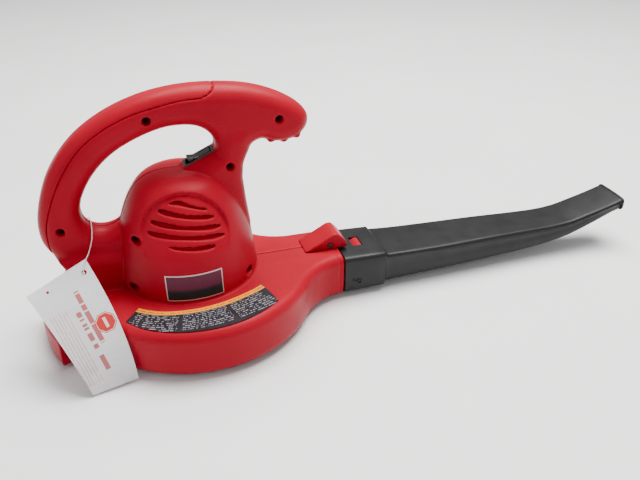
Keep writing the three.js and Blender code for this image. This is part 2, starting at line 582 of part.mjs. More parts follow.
function curledCard() {
  const [across, down] = TAG_STEPS;
  const positions = [];
  const faces = [];
  for (const side of [0.5, -0.5]) {
    for (let row = 0; row <= down; row++) {
      for (let column = 0; column <= across; column++) {
        const point = onTag(column / across, row / down).addScaledVector(TAG_NORMAL, side * TAG_THICK);
        positions.push(...point.toArray());
      }
    }
  }
  const layer = (across + 1) * (down + 1);
  const at = (row, column) => row * (across + 1) + column;
  const quad = (a, b, c, d) => faces.push(a, b, c, a, c, d);
  for (let row = 0; row < down; row++) {
    for (let column = 0; column < across; column++) {
      const corners = [at(row, column), at(row + 1, column), at(row + 1, column + 1), at(row, column + 1)];
      quad(...corners);
      quad(...corners.reverse().map((i) => i + layer));
    }
    quad(at(row, 0), at(row, 0) + layer, at(row + 1, 0) + layer, at(row + 1, 0));
    quad(at(row + 1, across), at(row + 1, across) + layer, at(row, across) + layer, at(row, across));
  }
  for (let column = 0; column < across; column++) {
    quad(at(0, column + 1), at(0, column + 1) + layer, at(0, column) + layer, at(0, column));
    quad(at(down, column), at(down, column) + layer, at(down, column + 1) + layer, at(down, column + 1));
  }
  const geometry = new THREE.BufferGeometry();
  geometry.setAttribute("position", new THREE.Float32BufferAttribute(positions, 3));
  geometry.setIndex(faces);
  return solid(geometry);
}

// Pin across the card at (u, v), to punch a hole with.
function punch([u, v, radius]) {
  const pin = new THREE.CylinderGeometry(radius, radius, 8, 16);
  pin.applyQuaternion(new THREE.Quaternion().setFromUnitVectors(new THREE.Vector3(0, 1, 0), TAG_NORMAL));
  return solid(pin.translate(...onTag(u, v).toArray()));
}
add("hang_tag", cut(curledCard(), ...TAG_HOLES.map(punch)), 0xe6e6e6, 0.8);

// The tie starts at the card's hole, goes over the hand opening's rear corner and back round the pillar.
const TIE_ROUTE = [[-94.2, -43.6, 86], [-92.7, -38, 89.6], [-90.4, -32.6, 93], [-88.2, -28.4, 95], [-86, -25, 98.6],
  [-83.5, -22.5, 104.6], [-82.2, -17.5, 109.8], [-82, -9, 112.6], [-82.4, 0, 113], [-83.6, 9, 111.8],
  [-86, 17, 107.5], [-91, 21.5, 101], [-98, 24, 93], [-104, 25, 84], [-108.5, 23, 75], [-111.5, 15, 68],
  [-112.5, 4, 64.5], [-112.5, -8, 63.5], [-111, -18, 65], [-107, -27, 70], [-101, -35, 77.5], [-95.4, -40, 83.4]];
const TIE_R = 0.45;
const tiePath = new THREE.CatmullRomCurve3(TIE_ROUTE.map((p) => new THREE.Vector3(...p)), false, "centripetal");
const tieSection = new THREE.Shape();
tieSection.absarc(0, 0, TIE_R, 0, 2 * Math.PI, false);
const tie = new THREE.ExtrudeGeometry(tieSection, { extrudePath: tiePath, steps: 40, curveSegments: 4 });
add("tag_tie", solid(tie), 0xd8dadc, 0.4);

// ---- The row's frame: standing on z = 0, its box centred over the origin, tag and tie left out ----

const standing = new THREE.Box3();
blower.updateMatrixWorld(true);
for (const mesh of blower.children) {
  if (!["hang_tag", "tag_tie"].includes(mesh.name)) standing.expandByObject(mesh);
}
const middle = standing.getCenter(new THREE.Vector3());
blower.position.set(-middle.x, -middle.y, -standing.min.z);

const part = new THREE.Group();
part.add(blower);

export default part;
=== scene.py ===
import itertools
import math

import bpy
import numpy as np
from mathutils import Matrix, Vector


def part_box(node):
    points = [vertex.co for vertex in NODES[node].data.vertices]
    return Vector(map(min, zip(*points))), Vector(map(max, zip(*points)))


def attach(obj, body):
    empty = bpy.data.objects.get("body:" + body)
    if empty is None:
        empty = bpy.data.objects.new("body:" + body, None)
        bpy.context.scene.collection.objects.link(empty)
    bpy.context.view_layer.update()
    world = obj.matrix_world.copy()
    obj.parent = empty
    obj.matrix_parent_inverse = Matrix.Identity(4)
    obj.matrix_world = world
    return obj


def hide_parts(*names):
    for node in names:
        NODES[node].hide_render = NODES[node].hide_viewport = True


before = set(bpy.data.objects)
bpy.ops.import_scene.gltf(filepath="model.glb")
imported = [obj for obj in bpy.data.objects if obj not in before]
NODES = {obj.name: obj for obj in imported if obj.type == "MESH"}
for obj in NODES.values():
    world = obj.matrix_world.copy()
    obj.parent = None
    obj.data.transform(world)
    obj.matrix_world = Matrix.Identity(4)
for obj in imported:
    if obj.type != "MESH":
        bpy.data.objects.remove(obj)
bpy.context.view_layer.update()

import openvdb
from mathutils import Vector

# Corded hand-held leaf blower. Shapes are worked out in millimetres round the fan's axis, with the floor at
# z = 0, and placed in the row frame in metres. Most shells are signed distance fields turned into meshes.


def centre(node):
    low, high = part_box(node)
    return (low + high) / 2


FAN_AXIS = centre("impeller")
ORIGIN = np.array([FAN_AXIS.x, FAN_AXIS.y, 0.0])


def local(point):
    """A point of the row frame in millimetres round the fan's axis."""
    return (np.array(point) - ORIGIN) * 1000


def local_to_row(point):
    """A point in millimetres round the fan's axis in the row frame."""
    return np.array(point) * 0.001 + ORIGIN


def local_box(node):
    return [local(corner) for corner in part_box(node)]


# ---- Camera, floor and lights ----

VIEW_YAW = math.radians(17.4)
VIEW_PITCH = math.radians(30.5)
VIEW_FROM = ORIGIN + np.array([-0.0501, -0.5909, 0.4194])
SENSOR = 36.0
FOCAL = 39.375


def add_object(name, data):
    made = bpy.data.objects.new(name, data)
    bpy.context.scene.collection.objects.link(made)
    return made


def make_camera():
    data = bpy.data.cameras.new("camera")
    data.sensor_width = SENSOR
    data.lens = FOCAL
    camera = add_object("camera", data)
    camera.location = VIEW_FROM
    camera.rotation_euler = (math.pi / 2 - VIEW_PITCH, 0, -VIEW_YAW)
    bpy.context.scene.camera = camera


# name, place and aim in metres, size in metres, power in watts, colour
LIGHTS = [
    ("light_overhead", (0.3, 0.35, 1.8), (0.0, -0.1, 0), (1.6, 1.2), 112, (1.0, 0.99, 0.97)),
    ("light_left", (-1.7, -0.5, 1.0), (-0.1, 0, 0.1), (1.2, 1.6), 7, (0.97, 0.98, 1.0)),
    ("light_front", (0.5, -1.9, 1.3), (0, 0, 0.1), (1.8, 1.2), 9, (1.0, 0.99, 0.98)),
]
SKY_COLOUR = (0.92, 0.93, 0.95, 1)
SKY_STRENGTH = 0.42


def make_lights():
    for name, place, aim, size, power, colour in LIGHTS:
        data = bpy.data.lights.new(name, "AREA")
        data.shape = "RECTANGLE"
        data.size, data.size_y = size
        data.energy = power
        data.color = colour
        lamp = add_object(name, data)
        lamp.location = place
        lamp.rotation_euler = (Vector(aim) - Vector(place)).to_track_quat("-Z", "Y").to_euler()
    world = bpy.data.worlds.new("studio")
    world.use_nodes = True
    sky = world.node_tree.nodes["Background"].inputs
    sky["Color"].default_value = SKY_COLOUR
    sky["Strength"].default_value = SKY_STRENGTH
    bpy.context.scene.world = world


# ---- Materials ----


class Shader:
    """A node material under construction: helpers that add nodes and join them to the shader."""

    def __init__(self, name):
        self.material = bpy.data.materials.new(name)
        self.material.use_nodes = True
        self.tree = self.material.node_tree
        self.where = self.node("ShaderNodeTexCoord").outputs["Object"]

    def put(self, socket, value):
        """Links a node's output to a socket, or sets the socket's own value. Colours get their alpha here."""
        if isinstance(value, bpy.types.NodeSocket):
            self.tree.links.new(value, socket)
        else:
            socket.default_value = (*value, 1) if socket.type == "RGBA" and len(value) == 3 else value

    def node(self, kind, inputs=None, **settings):
        made = self.tree.nodes.new(kind)
        for key, value in settings.items():
            setattr(made, key, value)
        for key, value in (inputs or {}).items():
            self.put(made.inputs[key], value)
        return made

    def noise(self, scale, detail=3.0, roughness=0.55, vector=None, stretch=None):
        vector = vector or self.where
        if stretch:
            vector = self.node("ShaderNodeMapping", {"Vector": vector, "Scale": stretch}).outputs["Vector"]
        inputs = {"Vector": vector, "Scale": scale, "Detail": detail, "Roughness": roughness}
        return self.node("ShaderNodeTexNoise", inputs).outputs["Fac"]

    def math(self, operation, first, second=0.0):
        return self.node("ShaderNodeMath", {0: first, 1: second}, operation=operation).outputs[0]

    def times(self, *values):
        """Product of the values. Masks of 0 and 1 give 1 where all of them hold."""
        made = values[0]
        for value in values[1:]:
            made = self.math("MULTIPLY", made, value)
        return made

    def under(self, value, limit):
        """1 where the value is under the limit, else 0."""
        return self.math("LESS_THAN", value, limit)

    def over(self, value, limit):
        return self.math("GREATER_THAN", value, limit)

    def off(self, value, middle):
        """Distance of the value from the middle."""
        return self.math("ABSOLUTE", self.math("SUBTRACT", value, middle))

    def span(self, value, low, high, to_low=0.0, to_high=1.0):
        """Maps low..high to to_low..to_high, held at the ends."""
        inputs = {"Value": value, "From Min": low, "From Max": high, "To Min": to_low, "To Max": to_high}
        return self.node("ShaderNodeMapRange", inputs).outputs["Result"]

    def varied(self, scale, detail, low=0.0, high=1.0):
        """Noise spread between two values."""
        return self.span(self.noise(scale, detail), 0.3, 0.7, low, high)

    def sheet_axes(self):
        """The two places of a point on its flat sheet, in millimetres."""
        flat = self.node("ShaderNodeUVMap", uv_map="sheet").outputs["UV"]
        return self.node("ShaderNodeSeparateXYZ", {0: flat}).outputs[:2]

    def mix(self, factor, first, second):
        return self.node("ShaderNodeMix", {0: factor, 6: first, 7: second}, data_type="RGBA").outputs[2]

    def bump(self, height, distance, strength=1.0, after=None):
        """Normals for a relief whose full height is `distance` metres, on top of those in `after`."""
        inputs = {"Height": height, "Distance": distance, "Strength": strength}
        return self.node("ShaderNodeBump", {**inputs, "Normal": after} if after else inputs).outputs["Normal"]

    def finish(self, colour, roughness, normal, specular=0.5, **others):
        inputs = {"Base Color": colour, "Roughness": roughness, "Normal": normal}
        for name, value in {**inputs, "Specular IOR Level": specular, **others}.items():
            self.put(self.tree.nodes["Principled BSDF"].inputs[name], value)
        return self.material


def moulded(name, base, tint, roughness=0.36, grain=0.00004, wear=(0.5, 0.3, 0.3), **constants):
    """Injection-moulded plastic: a fine eroded texture, slow colour change, dust and small scuffs."""
    s = Shader(name)
    colour = s.mix(s.span(s.noise(16, 3), 0.35, 0.65), base, tint)
    scratches = s.noise(320, 4, 0.7, stretch=(1.0, 0.35, 1.3))
    patches = s.noise(22, 4, 0.6)
    marks = s.times(s.span(scratches, 0.66, 0.74), s.span(patches, 0.55, 0.68))
    colour = s.mix(s.times(marks, WEAR_AMOUNT), colour, wear)
    rough = s.math("ADD", s.varied(55, 4, roughness - 0.05, roughness + 0.07), s.times(marks, 0.2))
    fine = s.bump(s.noise(1500, 2), grain)
    normal = s.bump(s.noise(30, 2), MOULD_WAVE, 0.5, after=fine)
    return s.finish(colour, rough, normal, **constants)


def metal(name, base, tint, roughness=0.32, brushed=(1.0, 1.0, 1.0)):
    s = Shader(name)
    colour = s.mix(s.noise(60, 4), base, tint)
    streaks = s.noise(240, 4, stretch=brushed)
    rough = s.span(streaks, 0.3, 0.7, roughness - 0.08, roughness + 0.12)
    normal = s.bump(s.noise(900, 3, stretch=brushed), METAL_GRAIN)
    return s.finish(colour, rough, normal, Metallic=1.0)


WEAR_AMOUNT = 0.35  # how much of the scuffs' colour shows
MOULD_WAVE = 0.00012  # height of the slow waves in moulded faces, in metres
METAL_GRAIN = 0.00002  # height of the grain of metal, in metres

RED = moulded("red_plastic", (0.29, 0.0022, 0.013), (0.33, 0.003, 0.016), 0.4, wear=(0.6, 0.2, 0.2),
              specular=0.16, **{"Specular Tint": (1.0, 0.4, 0.4, 1.0)})
CHARCOAL = moulded("charcoal_plastic", (0.0065, 0.0065, 0.007), (0.009, 0.009, 0.0097), 0.42, 0.00005,
                   wear=(0.08, 0.08, 0.08), specular=0.25)
BLACK = moulded("black_plastic", (0.012, 0.012, 0.013), (0.018, 0.018, 0.019), 0.45,
                wear=(0.07, 0.07, 0.07), specular=0.3)
SWITCH = moulded("switch_plastic", (0.009, 0.009, 0.01), (0.014, 0.014, 0.015), 0.2, 0.00001,
                 wear=(0.08, 0.08, 0.08))
BEZEL = moulded("bezel_plastic", (0.022, 0.02, 0.018), (0.035, 0.031, 0.028), 0.34, wear=(0.12, 0.11, 0.1))
RUBBER = moulded("rubber", (0.018, 0.018, 0.018), (0.03, 0.029, 0.028), 0.72, 0.0001, wear=(0.2, 0.19, 0.18))
STEEL = metal("steel", (0.5, 0.5, 0.52), (0.6, 0.6, 0.62), 0.3)
SCREW_STEEL = metal("screw_steel", (0.035, 0.033, 0.033), (0.07, 0.066, 0.066), 0.4)
LAMINATIONS = metal("laminations", (0.16, 0.16, 0.17), (0.22, 0.21, 0.21), 0.45, (1.0, 1.0, 60.0))
COPPER = metal("copper", (0.62, 0.26, 0.11), (0.72, 0.34, 0.16), 0.28, (1.0, 1.0, 30.0))
BRASS = metal("brass", (0.66, 0.47, 0.18), (0.75, 0.56, 0.25), 0.3)
CARBON = moulded("carbon", (0.02, 0.02, 0.022), (0.035, 0.035, 0.036), 0.6, wear=(0.1, 0.1, 0.1))
LEAD_WHITE = moulded("lead_white", (0.6, 0.6, 0.57), (0.68, 0.67, 0.63), 0.4, wear=(0.4, 0.4, 0.4))

# ---- Distance fields ----



def step(full, quick):
    return full


COARSE = step(1.25, 2.0)  # grid of the large shells
FINE = step(0.6, 1.0)  # grid of the small pieces


class Grid:
    """Sample points of a block of space, as arrays x, y and z that broadcast against each other."""

    def __init__(self, low, high, step):
        self.low = np.array(low, np.float32)
        self.step = step
        counts = [int(math.ceil((b - a) / step)) + 1 for a, b in zip(low, high)]
        axes = [low[i] + step * np.arange(counts[i], dtype=np.float32) for i in range(3)]
        self.x = axes[0][:, None, None]
        self.y = axes[1][None, :, None]
        self.z = axes[2][None, None, :]

    def skin(self, field):
        """Vertices and faces where the field is zero, the vertices pulled on to the surface."""
        shape = (self.x.size, self.y.size, self.z.size)
        field = np.ascontiguousarray(np.broadcast_to(field, shape), np.float32)
        limit = 4 * self.step
        volume = openvdb.FloatGrid(limit)
        volume.copyFromArray(np.clip(field, -limit, limit))
        found, quads = volume.convertToQuads(isovalue=0.0)
        for _ in range(2):
            value, slope = sample(field, found)
            size = np.maximum((slope ** 2).sum(1), 1e-4)
            pull = np.clip(value / size, -0.4, 0.4)[:, None] * slope
            found = found - pull.astype(found.dtype)
        points = self.low + found * self.step
        corners = points[quads]
        normal = np.cross(corners[:, 2] - corners[:, 0], corners[:, 3] - corners[:, 1])
        if (corners.mean(1) * normal).sum() < 0:
            quads = quads[:, ::-1]
        return points, quads


def sample(field, where):
    """The field and its slope at points given in grid steps, both in grid steps' own units."""
    base = np.clip(np.floor(where).astype(int), 0, np.array(field.shape) - 2)
    part = where - base
    corner = {key: field[tuple((base + key).T)] for key in itertools.product((0, 1), repeat=3)}

    def along(axis):
        """Mean of the corners at 0 and at 1 along one axis, weighted across the other two."""
        others = [i for i in range(3) if i != axis]
        ends = [0.0, 0.0]
        for key, value in corner.items():
            weight = 1.0
            for i in others:
                weight = weight * (part[:, i] if key[i] else 1 - part[:, i])
            ends[key[axis]] = ends[key[axis]] + weight * value
        return ends

    sides = [along(axis) for axis in range(3)]
    value = sides[0][0] * (1 - part[:, 0]) + sides[0][1] * part[:, 0]
    return value, np.stack([high - low for low, high in sides], 1)


def line_distance(u, v, points):
    """Distance to a line through points for every pair of u and v."""
    best = np.full(np.broadcast(u, v).shape, 1e9, np.float32)
    for (au, av), (bu, bv) in zip(points, points[1:]):
        eu, ev = bu - au, bv - av
        wu, wv = u - au, v - av
        t = np.clip((wu * eu + wv * ev) / (eu * eu + ev * ev + 1e-9), 0, 1)
        best = np.minimum(best, (wu - eu * t) ** 2 + (wv - ev * t) ** 2)
    return np.sqrt(best)


def outline_distance(u, v, points):
    """Distance to a closed outline for every pair of u and v, negative inside it."""
    closed = [*points, points[0]]
    inside = np.zeros(np.broadcast(u, v).shape, bool)
    for (au, av), (bu, bv) in zip(closed, closed[1:]):
        if abs(bv - av) > 1e-6:
            inside ^= ((av > v) != (bv > v)) & (u < au + (bu - au) * (v - av) / (bv - av))
    return np.where(inside, -1, 1) * line_distance(u, v, closed)


def join(first, second, radius):
    """Union of two fields with a fillet between them."""
    near = np.maximum(radius - np.abs(first - second), 0)
    return np.minimum(first, second) - near * near / (4 * radius)


def cut(field, tool, radius=0.0):
    """The field without the tool, its new edges rounded."""
    if not radius:
        return np.maximum(field, -tool)
    near = np.maximum(radius - np.abs(field + tool), 0)
    return np.maximum(field, -tool) + near * near / (4 * radius)


def keep(field, tool, radius=0.0):
    """What the field and the tool share, its new edges rounded."""
    return cut(field, -tool, radius)


def slab(outline, offset, half, rounding):
    """An outline thickened to `half` either side of offset zero, its edges rounded."""
    a = outline + rounding
    b = np.abs(offset) - half + rounding
    return np.minimum(np.maximum(a, b), 0) + np.hypot(np.maximum(a, 0), np.maximum(b, 0)) - rounding


def box_field(x, y, z, half, rounding):
    """A rounded box round the place where x, y and z are zero."""
    ax, ay, az = (np.abs(place) - size + rounding for place, size in zip((x, y, z), half))
    outer = np.sqrt(np.maximum(ax, 0) ** 2 + np.maximum(ay, 0) ** 2 + np.maximum(az, 0) ** 2)
    return outer + np.minimum(np.maximum(np.maximum(ax, ay), az), 0) - rounding


def block(grid, low, high, rounding=0.0):
    middle = (np.array(low) + np.array(high)) / 2
    half = (np.array(high) - np.array(low)) / 2
    return box_field(grid.x - middle[0], grid.y - middle[1], grid.z - middle[2], half, rounding)


def cylinder(across, radius, along, low, high, rounding=0.0):
    """A cylinder from its distance off the axis and its place along it."""
    return slab(across - radius, along - (low + high) / 2, (high - low) / 2, rounding)


def smooth_step(value, low, high):
    t = np.clip((value - low) / (high - low), 0, 1)
    return t * t * (3 - 2 * t)


# ---- Curves ----


def spline(points, steps=8, closed=False):
    """Points of a centripetal Catmull-Rom curve through the given ones."""
    given = np.array(points, float)
    if closed:
        given = np.vstack([given[-1], given, given[:2]])
    else:
        given = np.vstack([2 * given[0] - given[1], given, 2 * given[-1] - given[-2]])
    made = []

    def blend(first, second, i, j):
        """The point at s between one at t[i] and one at t[j]."""
        return ((t[j] - s) * first + (s - t[i]) * second) / (t[j] - t[i])

    for p0, p1, p2, p3 in zip(given, given[1:], given[2:], given[3:]):
        ends = ((p0, p1), (p1, p2), (p2, p3))
        t = np.cumsum([0, *(max(np.linalg.norm(b - a), 1e-6) ** 0.5 for a, b in ends)])
        for s in np.linspace(t[1], t[2], steps, endpoint=False):
            a1, a2, a3 = blend(p0, p1, 0, 1), blend(p1, p2, 1, 2), blend(p2, p3, 2, 3)
            made.append(blend(blend(a1, a2, 0, 2), blend(a2, a3, 1, 3), 1, 2))
    if not closed:
        made.append(given[-2])
    return [tuple(p) for p in made]


def bend(start, control, end, steps=10):
    """Points of a quadratic curve."""
    t = np.linspace(0, 1, steps + 1)[:, None]
    a, b, c = np.array(start), np.array(control), np.array(end)
    return [tuple(p) for p in (1 - t) ** 2 * a + 2 * t * (1 - t) * b + t ** 2 * c]


def polar(radius, degrees):
    angle = math.radians(degrees)
    return (radius * math.cos(angle), radius * math.sin(angle))


def sector(inner, outer, start, end, steps=24):
    angles = np.linspace(start, end, steps + 1)
    return [polar(outer, a) for a in angles] + [polar(inner, a) for a in angles[::-1]]


# ---- Pieces ----


def piece(name, points, faces, material, body, slot, stands_for=(), smooth=True):
    """A mesh piece from points in local millimetres. Faces hold point numbers."""
    mesh = bpy.data.meshes.new(name)
    placed = np.asarray(points, float) * 0.001 + ORIGIN
    mesh.from_pydata(placed.tolist(), [], [list(map(int, face)) for face in faces])
    mesh.polygons.foreach_set("use_smooth", [smooth] * len(mesh.polygons))
    mesh.validate()
    made = add_object(name, mesh)
    for item in material if isinstance(material, (list, tuple)) else [material]:
        mesh.materials.append(item)
    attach(made, body)
    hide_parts(*stands_for)
    return made


def field_piece(name, grid, field, *rest):
    points, faces = grid.skin(field)
    return piece(name, points, faces, *rest)


# ---- Housing ----

WALL = 3.0
BASE_Z = 2.6
VOLUTE_TOP = 50.0
DUCT_END = 150.0
DUCT_HALF = 32.5
HEEL_RADIUS = 140.0
HEEL_TOP = 36.0
HEEL_FROM, HEEL_TO = 170, 207.5
SPIRAL_START = 85.0
SPIRAL_RISE = 0.107
TONGUE_ANGLE = 40
SPIRAL_END = 330
TUBE_MID_Z = 26.0
HANDLE_HALF = 17.0
COLUMN_HALF = 17.5
PANEL_HALF = 10.4
PILLAR_HALF = 22.0

DOME = [(66, 44), (66, 56), (64, 75), (61.5, 92), (57.5, 108), (52.5, 122), (46.5, 134), (38, 145.5), (30, 151),
        (20, 154.6), (10, 156), (0, 156.2)]
HANDLE_OUTER = [(57, 141), (59, 156), (66, 170), (76, 175.5), (88, 172), (101, 171.5), (113, 175), (121, 184),
                (121.5, 194), (114, 204), (96, 215.5), (69, 225.5), (37, 230), (4, 230), (-28, 224.5),
                (-60, 212), (-87, 193.5), (-109, 167), (-122, 138), (-126.5, 118), (-125.5, 101), (-120, 89),
                (-112.5, 79), (-107, 66), (-101, 49)]
PANEL_LOW, PANEL_HIGH = (4.8, 156), (34.4, 169.2)
PANEL_MID = (19.6, 162.6)
PANEL_TILT = math.radians(24)
HANDLE_INNER = [PANEL_HIGH, (34.6, 175), (33.2, 181.5), (29.3, 187.5), (22, 193), (12, 196), (-8, 196),
                (-33, 188.5), (-54, 177.5), (-70, 163.5), (-81.5, 147.5), (-88, 132), (-88, 119), (-82, 110),
                (-72, 106.5), (-61, 108.5), (-52, 115), (-44, 124)]
COLUMN = [(66, 52), (62, 92), (58.2, 118), (56, 141), (57.5, 156), (63, 168), (63, 186), (46, 186), (40, 176),
          (37, 166), (22, 156), (8, 150), (0, 140), (0, 52)]
PANEL_BLOCK = [PANEL_LOW, PANEL_HIGH, (46, 172), (46, 156), (20, 146), (4, 146)]
PILLAR = [(-114, 84), (-109.5, 74), (-105.5, 62), (-102, 47), (-58, 47), (-54, 84)]
SEAM = [(41, 236), (34, 225.5), (25, 222), (6, 221), (-12, 218), (-36, 212.5), (-60, 202), (-82, 186),
        (-101, 161), (-114, 134), (-119, 116), (-119.5, 100), (-118, 86)]

ARCH_MID = (-3.2, 107.5)  # middle of the arched recess on each side of the dome, x and z
ARCH_RADIUS = 40.0
ARCH_DEPTH = 3.4
BLADE_EXTRA = 3.6  # the wall is this much thicker where the slots are
BLADE_RISE = 3.0  # the slots step up by this much inside the wall
LOUVRES = [  # cooling slots in x and z: blunt at the rear, drawn out towards the tube
    [(-14.8, 137.2), (-11, 138.8), (-6.7, 139.7), (-2, 138.4), (1.8, 136.4), (10, 132.9), (18.1, 129.7),
     (17.4, 128.9), (7.8, 132), (-3.6, 135.4), (-11, 136.8)],
    [(-22.4, 133.2), (-0.9, 128.6), (22.6, 123.1), (22.3, 121.3), (-1.4, 125.5), (-22.8, 130.1),
     (-23.8, 131.6)],
    [(-29.9, 124.1), (-2.3, 119.7), (27.8, 114), (27.2, 112), (-2.8, 116.8), (-30.3, 120.8), (-31.3, 122.4)],
    [(-33.9, 114.9), (-3.5, 111.8), (30.4, 106.1), (29.5, 104.2), (-3.9, 108.8), (-33.9, 111.7), (-35, 113.3)],
    [(-19.2, 104), (-0.1, 102.7), (20.8, 100.3), (18.7, 98.1), (-0.5, 99.4), (-18.4, 103)],
]
SCREWS = ("screw_grip", "screw_nose", "screw_column", "screw_rear", "screw_dome_upper", "screw_dome_rear",
          "screw_dome_front")
SCREW_HOLE = 3.6
SCREW_SUNK = 9.0  # how far a screw's head sits under the mouth of its hole
SCREW_DEPTH = 12.0
BOSS_RADIUS = 5.8
SEAM_GAP = 0.2
SEAM_ROUND = 0.5
SPIGOT = (29.2, 18.9, 5.0)  # half width, half height and corner of what the collar slides over
SPIGOT_BORE = (26.6, 16.3, 3.0)
INLET_PORT = ((-130, -15.4, 53.6), (-96, 15.4, 80.4))  # opening for the power inlet
LUG_PORT = ((159, -9, 36), (181.4, 9, 60))  # opening for the lug
RIBS = [(85.7, 175.2), (97.8, 174.0), (110, 176.6)]  # finger ribs under the handle's nose, x and z
RIB_RADIUS = 3.6
RIB_HALF = 10.5


def screw_place(node):
    """Middle of a screw in x and z, and the y of its head's face."""
    low, high = local_box(node)
    return (low[0] + high[0]) / 2, (low[2] + high[2]) / 2, low[1]


def on_spiral(degrees, inset):
    return polar(SPIRAL_START + SPIRAL_RISE * degrees - inset, degrees)


def volute_outline(inset, duct_end):
    half = DUCT_HALF - inset
    spiral = [on_spiral(a, inset) for a in np.arange(TONGUE_ANGLE + 2, SPIRAL_END, 2)]
    tongue = bend((106, half + 1.5), (80 - inset, 38 - inset), on_spiral(TONGUE_ANGLE, inset), 24)
    run_out = bend(on_spiral(SPIRAL_END, inset), (121 - inset, -37 + inset), (146, -half - 0.4), 24)
    return [(duct_end, -half), (duct_end, half), *tongue, *spiral, *run_out]


def dome_field(grid):
    """The dome turned about the fan's axis, with the arched recess on both sides."""
    side = spline([(r, z) for r, z in DOME], 6)
    outline = [(-r, z) for r, z in side[:-1]] + side[::-1]
    outline = [(-66, 20), *outline, (66, 20)]
    reach = np.arange(0, 180, 0.5, dtype=np.float32)[:, None]
    table = outline_distance(reach, grid.z[0], outline)
    place = np.clip(np.hypot(grid.x, grid.y)[:, :, 0] / 0.5, 0, len(reach) - 2)
    base = place.astype(int)
    part = (place - base)[:, :, None]
    field = table[base] * (1 - part) + table[base + 1] * part
    side = smooth_step(np.abs(grid.y), 14, 30) * smooth_step(grid.z, 90, 120)
    return field + ARCH_DEPTH * (1 - smooth_step(arch_distance(grid), -3.6, -0.4)) * side


def arch_distance(grid):
    """Distance outside the rim of the arched recess, seen from the side."""
    return np.hypot(grid.x - ARCH_MID[0], grid.z - ARCH_MID[1]) - ARCH_RADIUS


def handle_field(grid):
    outer = [*spline(HANDLE_OUTER), (-60, 49), (-52, 60), (40, 60), (61, 95)]
    inner = [*spline(HANDLE_INNER), (-32, 138), (-12, 146), (4, 149), PANEL_LOW]
    x, z = grid.x[:, 0], grid.z[0]
    outline = np.maximum(outline_distance(x, z, outer), -outline_distance(x, z, inner))[:, None, :]
    half = HANDLE_HALF - 2.5 * smooth_step(grid.x, 92, 124)
    return slab(outline, grid.y, half, 14.0)


def outline_field(grid, outline, half, rounding):
    """An outline in x and z, thickened along y."""
    return slab(outline_distance(grid.x[:, 0], grid.z[0], outline)[:, None, :], grid.y, half, rounding)


def plan_field(grid, outline, low, high, top_round, low_round):
    """An outline in plan, raised from low to high."""
    flat = outline_distance(grid.x[:, :, 0], grid.y[:, :, 0], outline)[:, :, None]
    middle = (low + high) / 2
    rounding = np.where(grid.z > middle, top_round, low_round)
    return slab(flat, grid.z - middle, (high - low) / 2, rounding)


def section_field(grid, half, half_height, rounding):
    """A bar of rounded rectangular section along x, at the height of the tube's axis."""
    return slab(np.abs(grid.y) - half, grid.z - TUBE_MID_Z, half_height, rounding)


def outside_field(grid):
    """The housing as if it were solid. Each join's last number is its fillet."""
    duct = plan_field(grid, volute_outline(0, DUCT_END + 30), BASE_Z, VOLUTE_TOP, 9.5, 11.0)
    lip = 0.8 * np.exp(-(((grid.x - DUCT_END + 3.6) / 0.9) ** 2))
    duct = np.maximum(duct + lip, grid.x - DUCT_END)
    heel = plan_field(grid, sector(92, HEEL_RADIUS, HEEL_FROM, HEEL_TO), BASE_Z, HEEL_TOP, 6.0, 6.0)
    column = outline_field(grid, COLUMN, COLUMN_HALF, 9.0)
    column = join(column, outline_field(grid, PANEL_BLOCK, PANEL_HALF, 1.2), 4.0)
    pillar = outline_field(grid, PILLAR, PILLAR_HALF, 6.0)
    upper = join(handle_field(grid), column, 6.0)
    upper = join(upper, pillar, 8.0)
    upper = join(upper, dome_field(grid), 1.2)
    base = join(duct, heel, 6.0)
    return join(upper, base, 3.5)


def louvre_field(grid, solid):
    """The cooling slots, which step up inside the wall, on both sides of the motor."""
    x, z = grid.x[:, 0], grid.z[0]
    flat = np.minimum.reduce([outline_distance(x, z, spline(points, 3, closed=True)) for points in LOUVRES])
    rise = BLADE_RISE * smooth_step(-solid, 3.0, 4.2)
    place = np.clip((grid.z - rise - grid.low[2]) / grid.step, 0, z.size - 2)
    base = place.astype(np.int32)
    part = place - base
    column = np.arange(x.size)[:, None, None]
    slots = flat[column, base] * (1 - part) + flat[column, base + 1] * part
    return np.maximum(slots, 20 - np.abs(grid.y))


def panel_axes(grid):
    """Places along the sloping switch panel and above it."""
    dx, dz = grid.x - PANEL_MID[0], grid.z - PANEL_MID[1]
    return (dx * math.cos(PANEL_TILT) + dz * math.sin(PANEL_TILT),
            -dx * math.sin(PANEL_TILT) + dz * math.cos(PANEL_TILT))


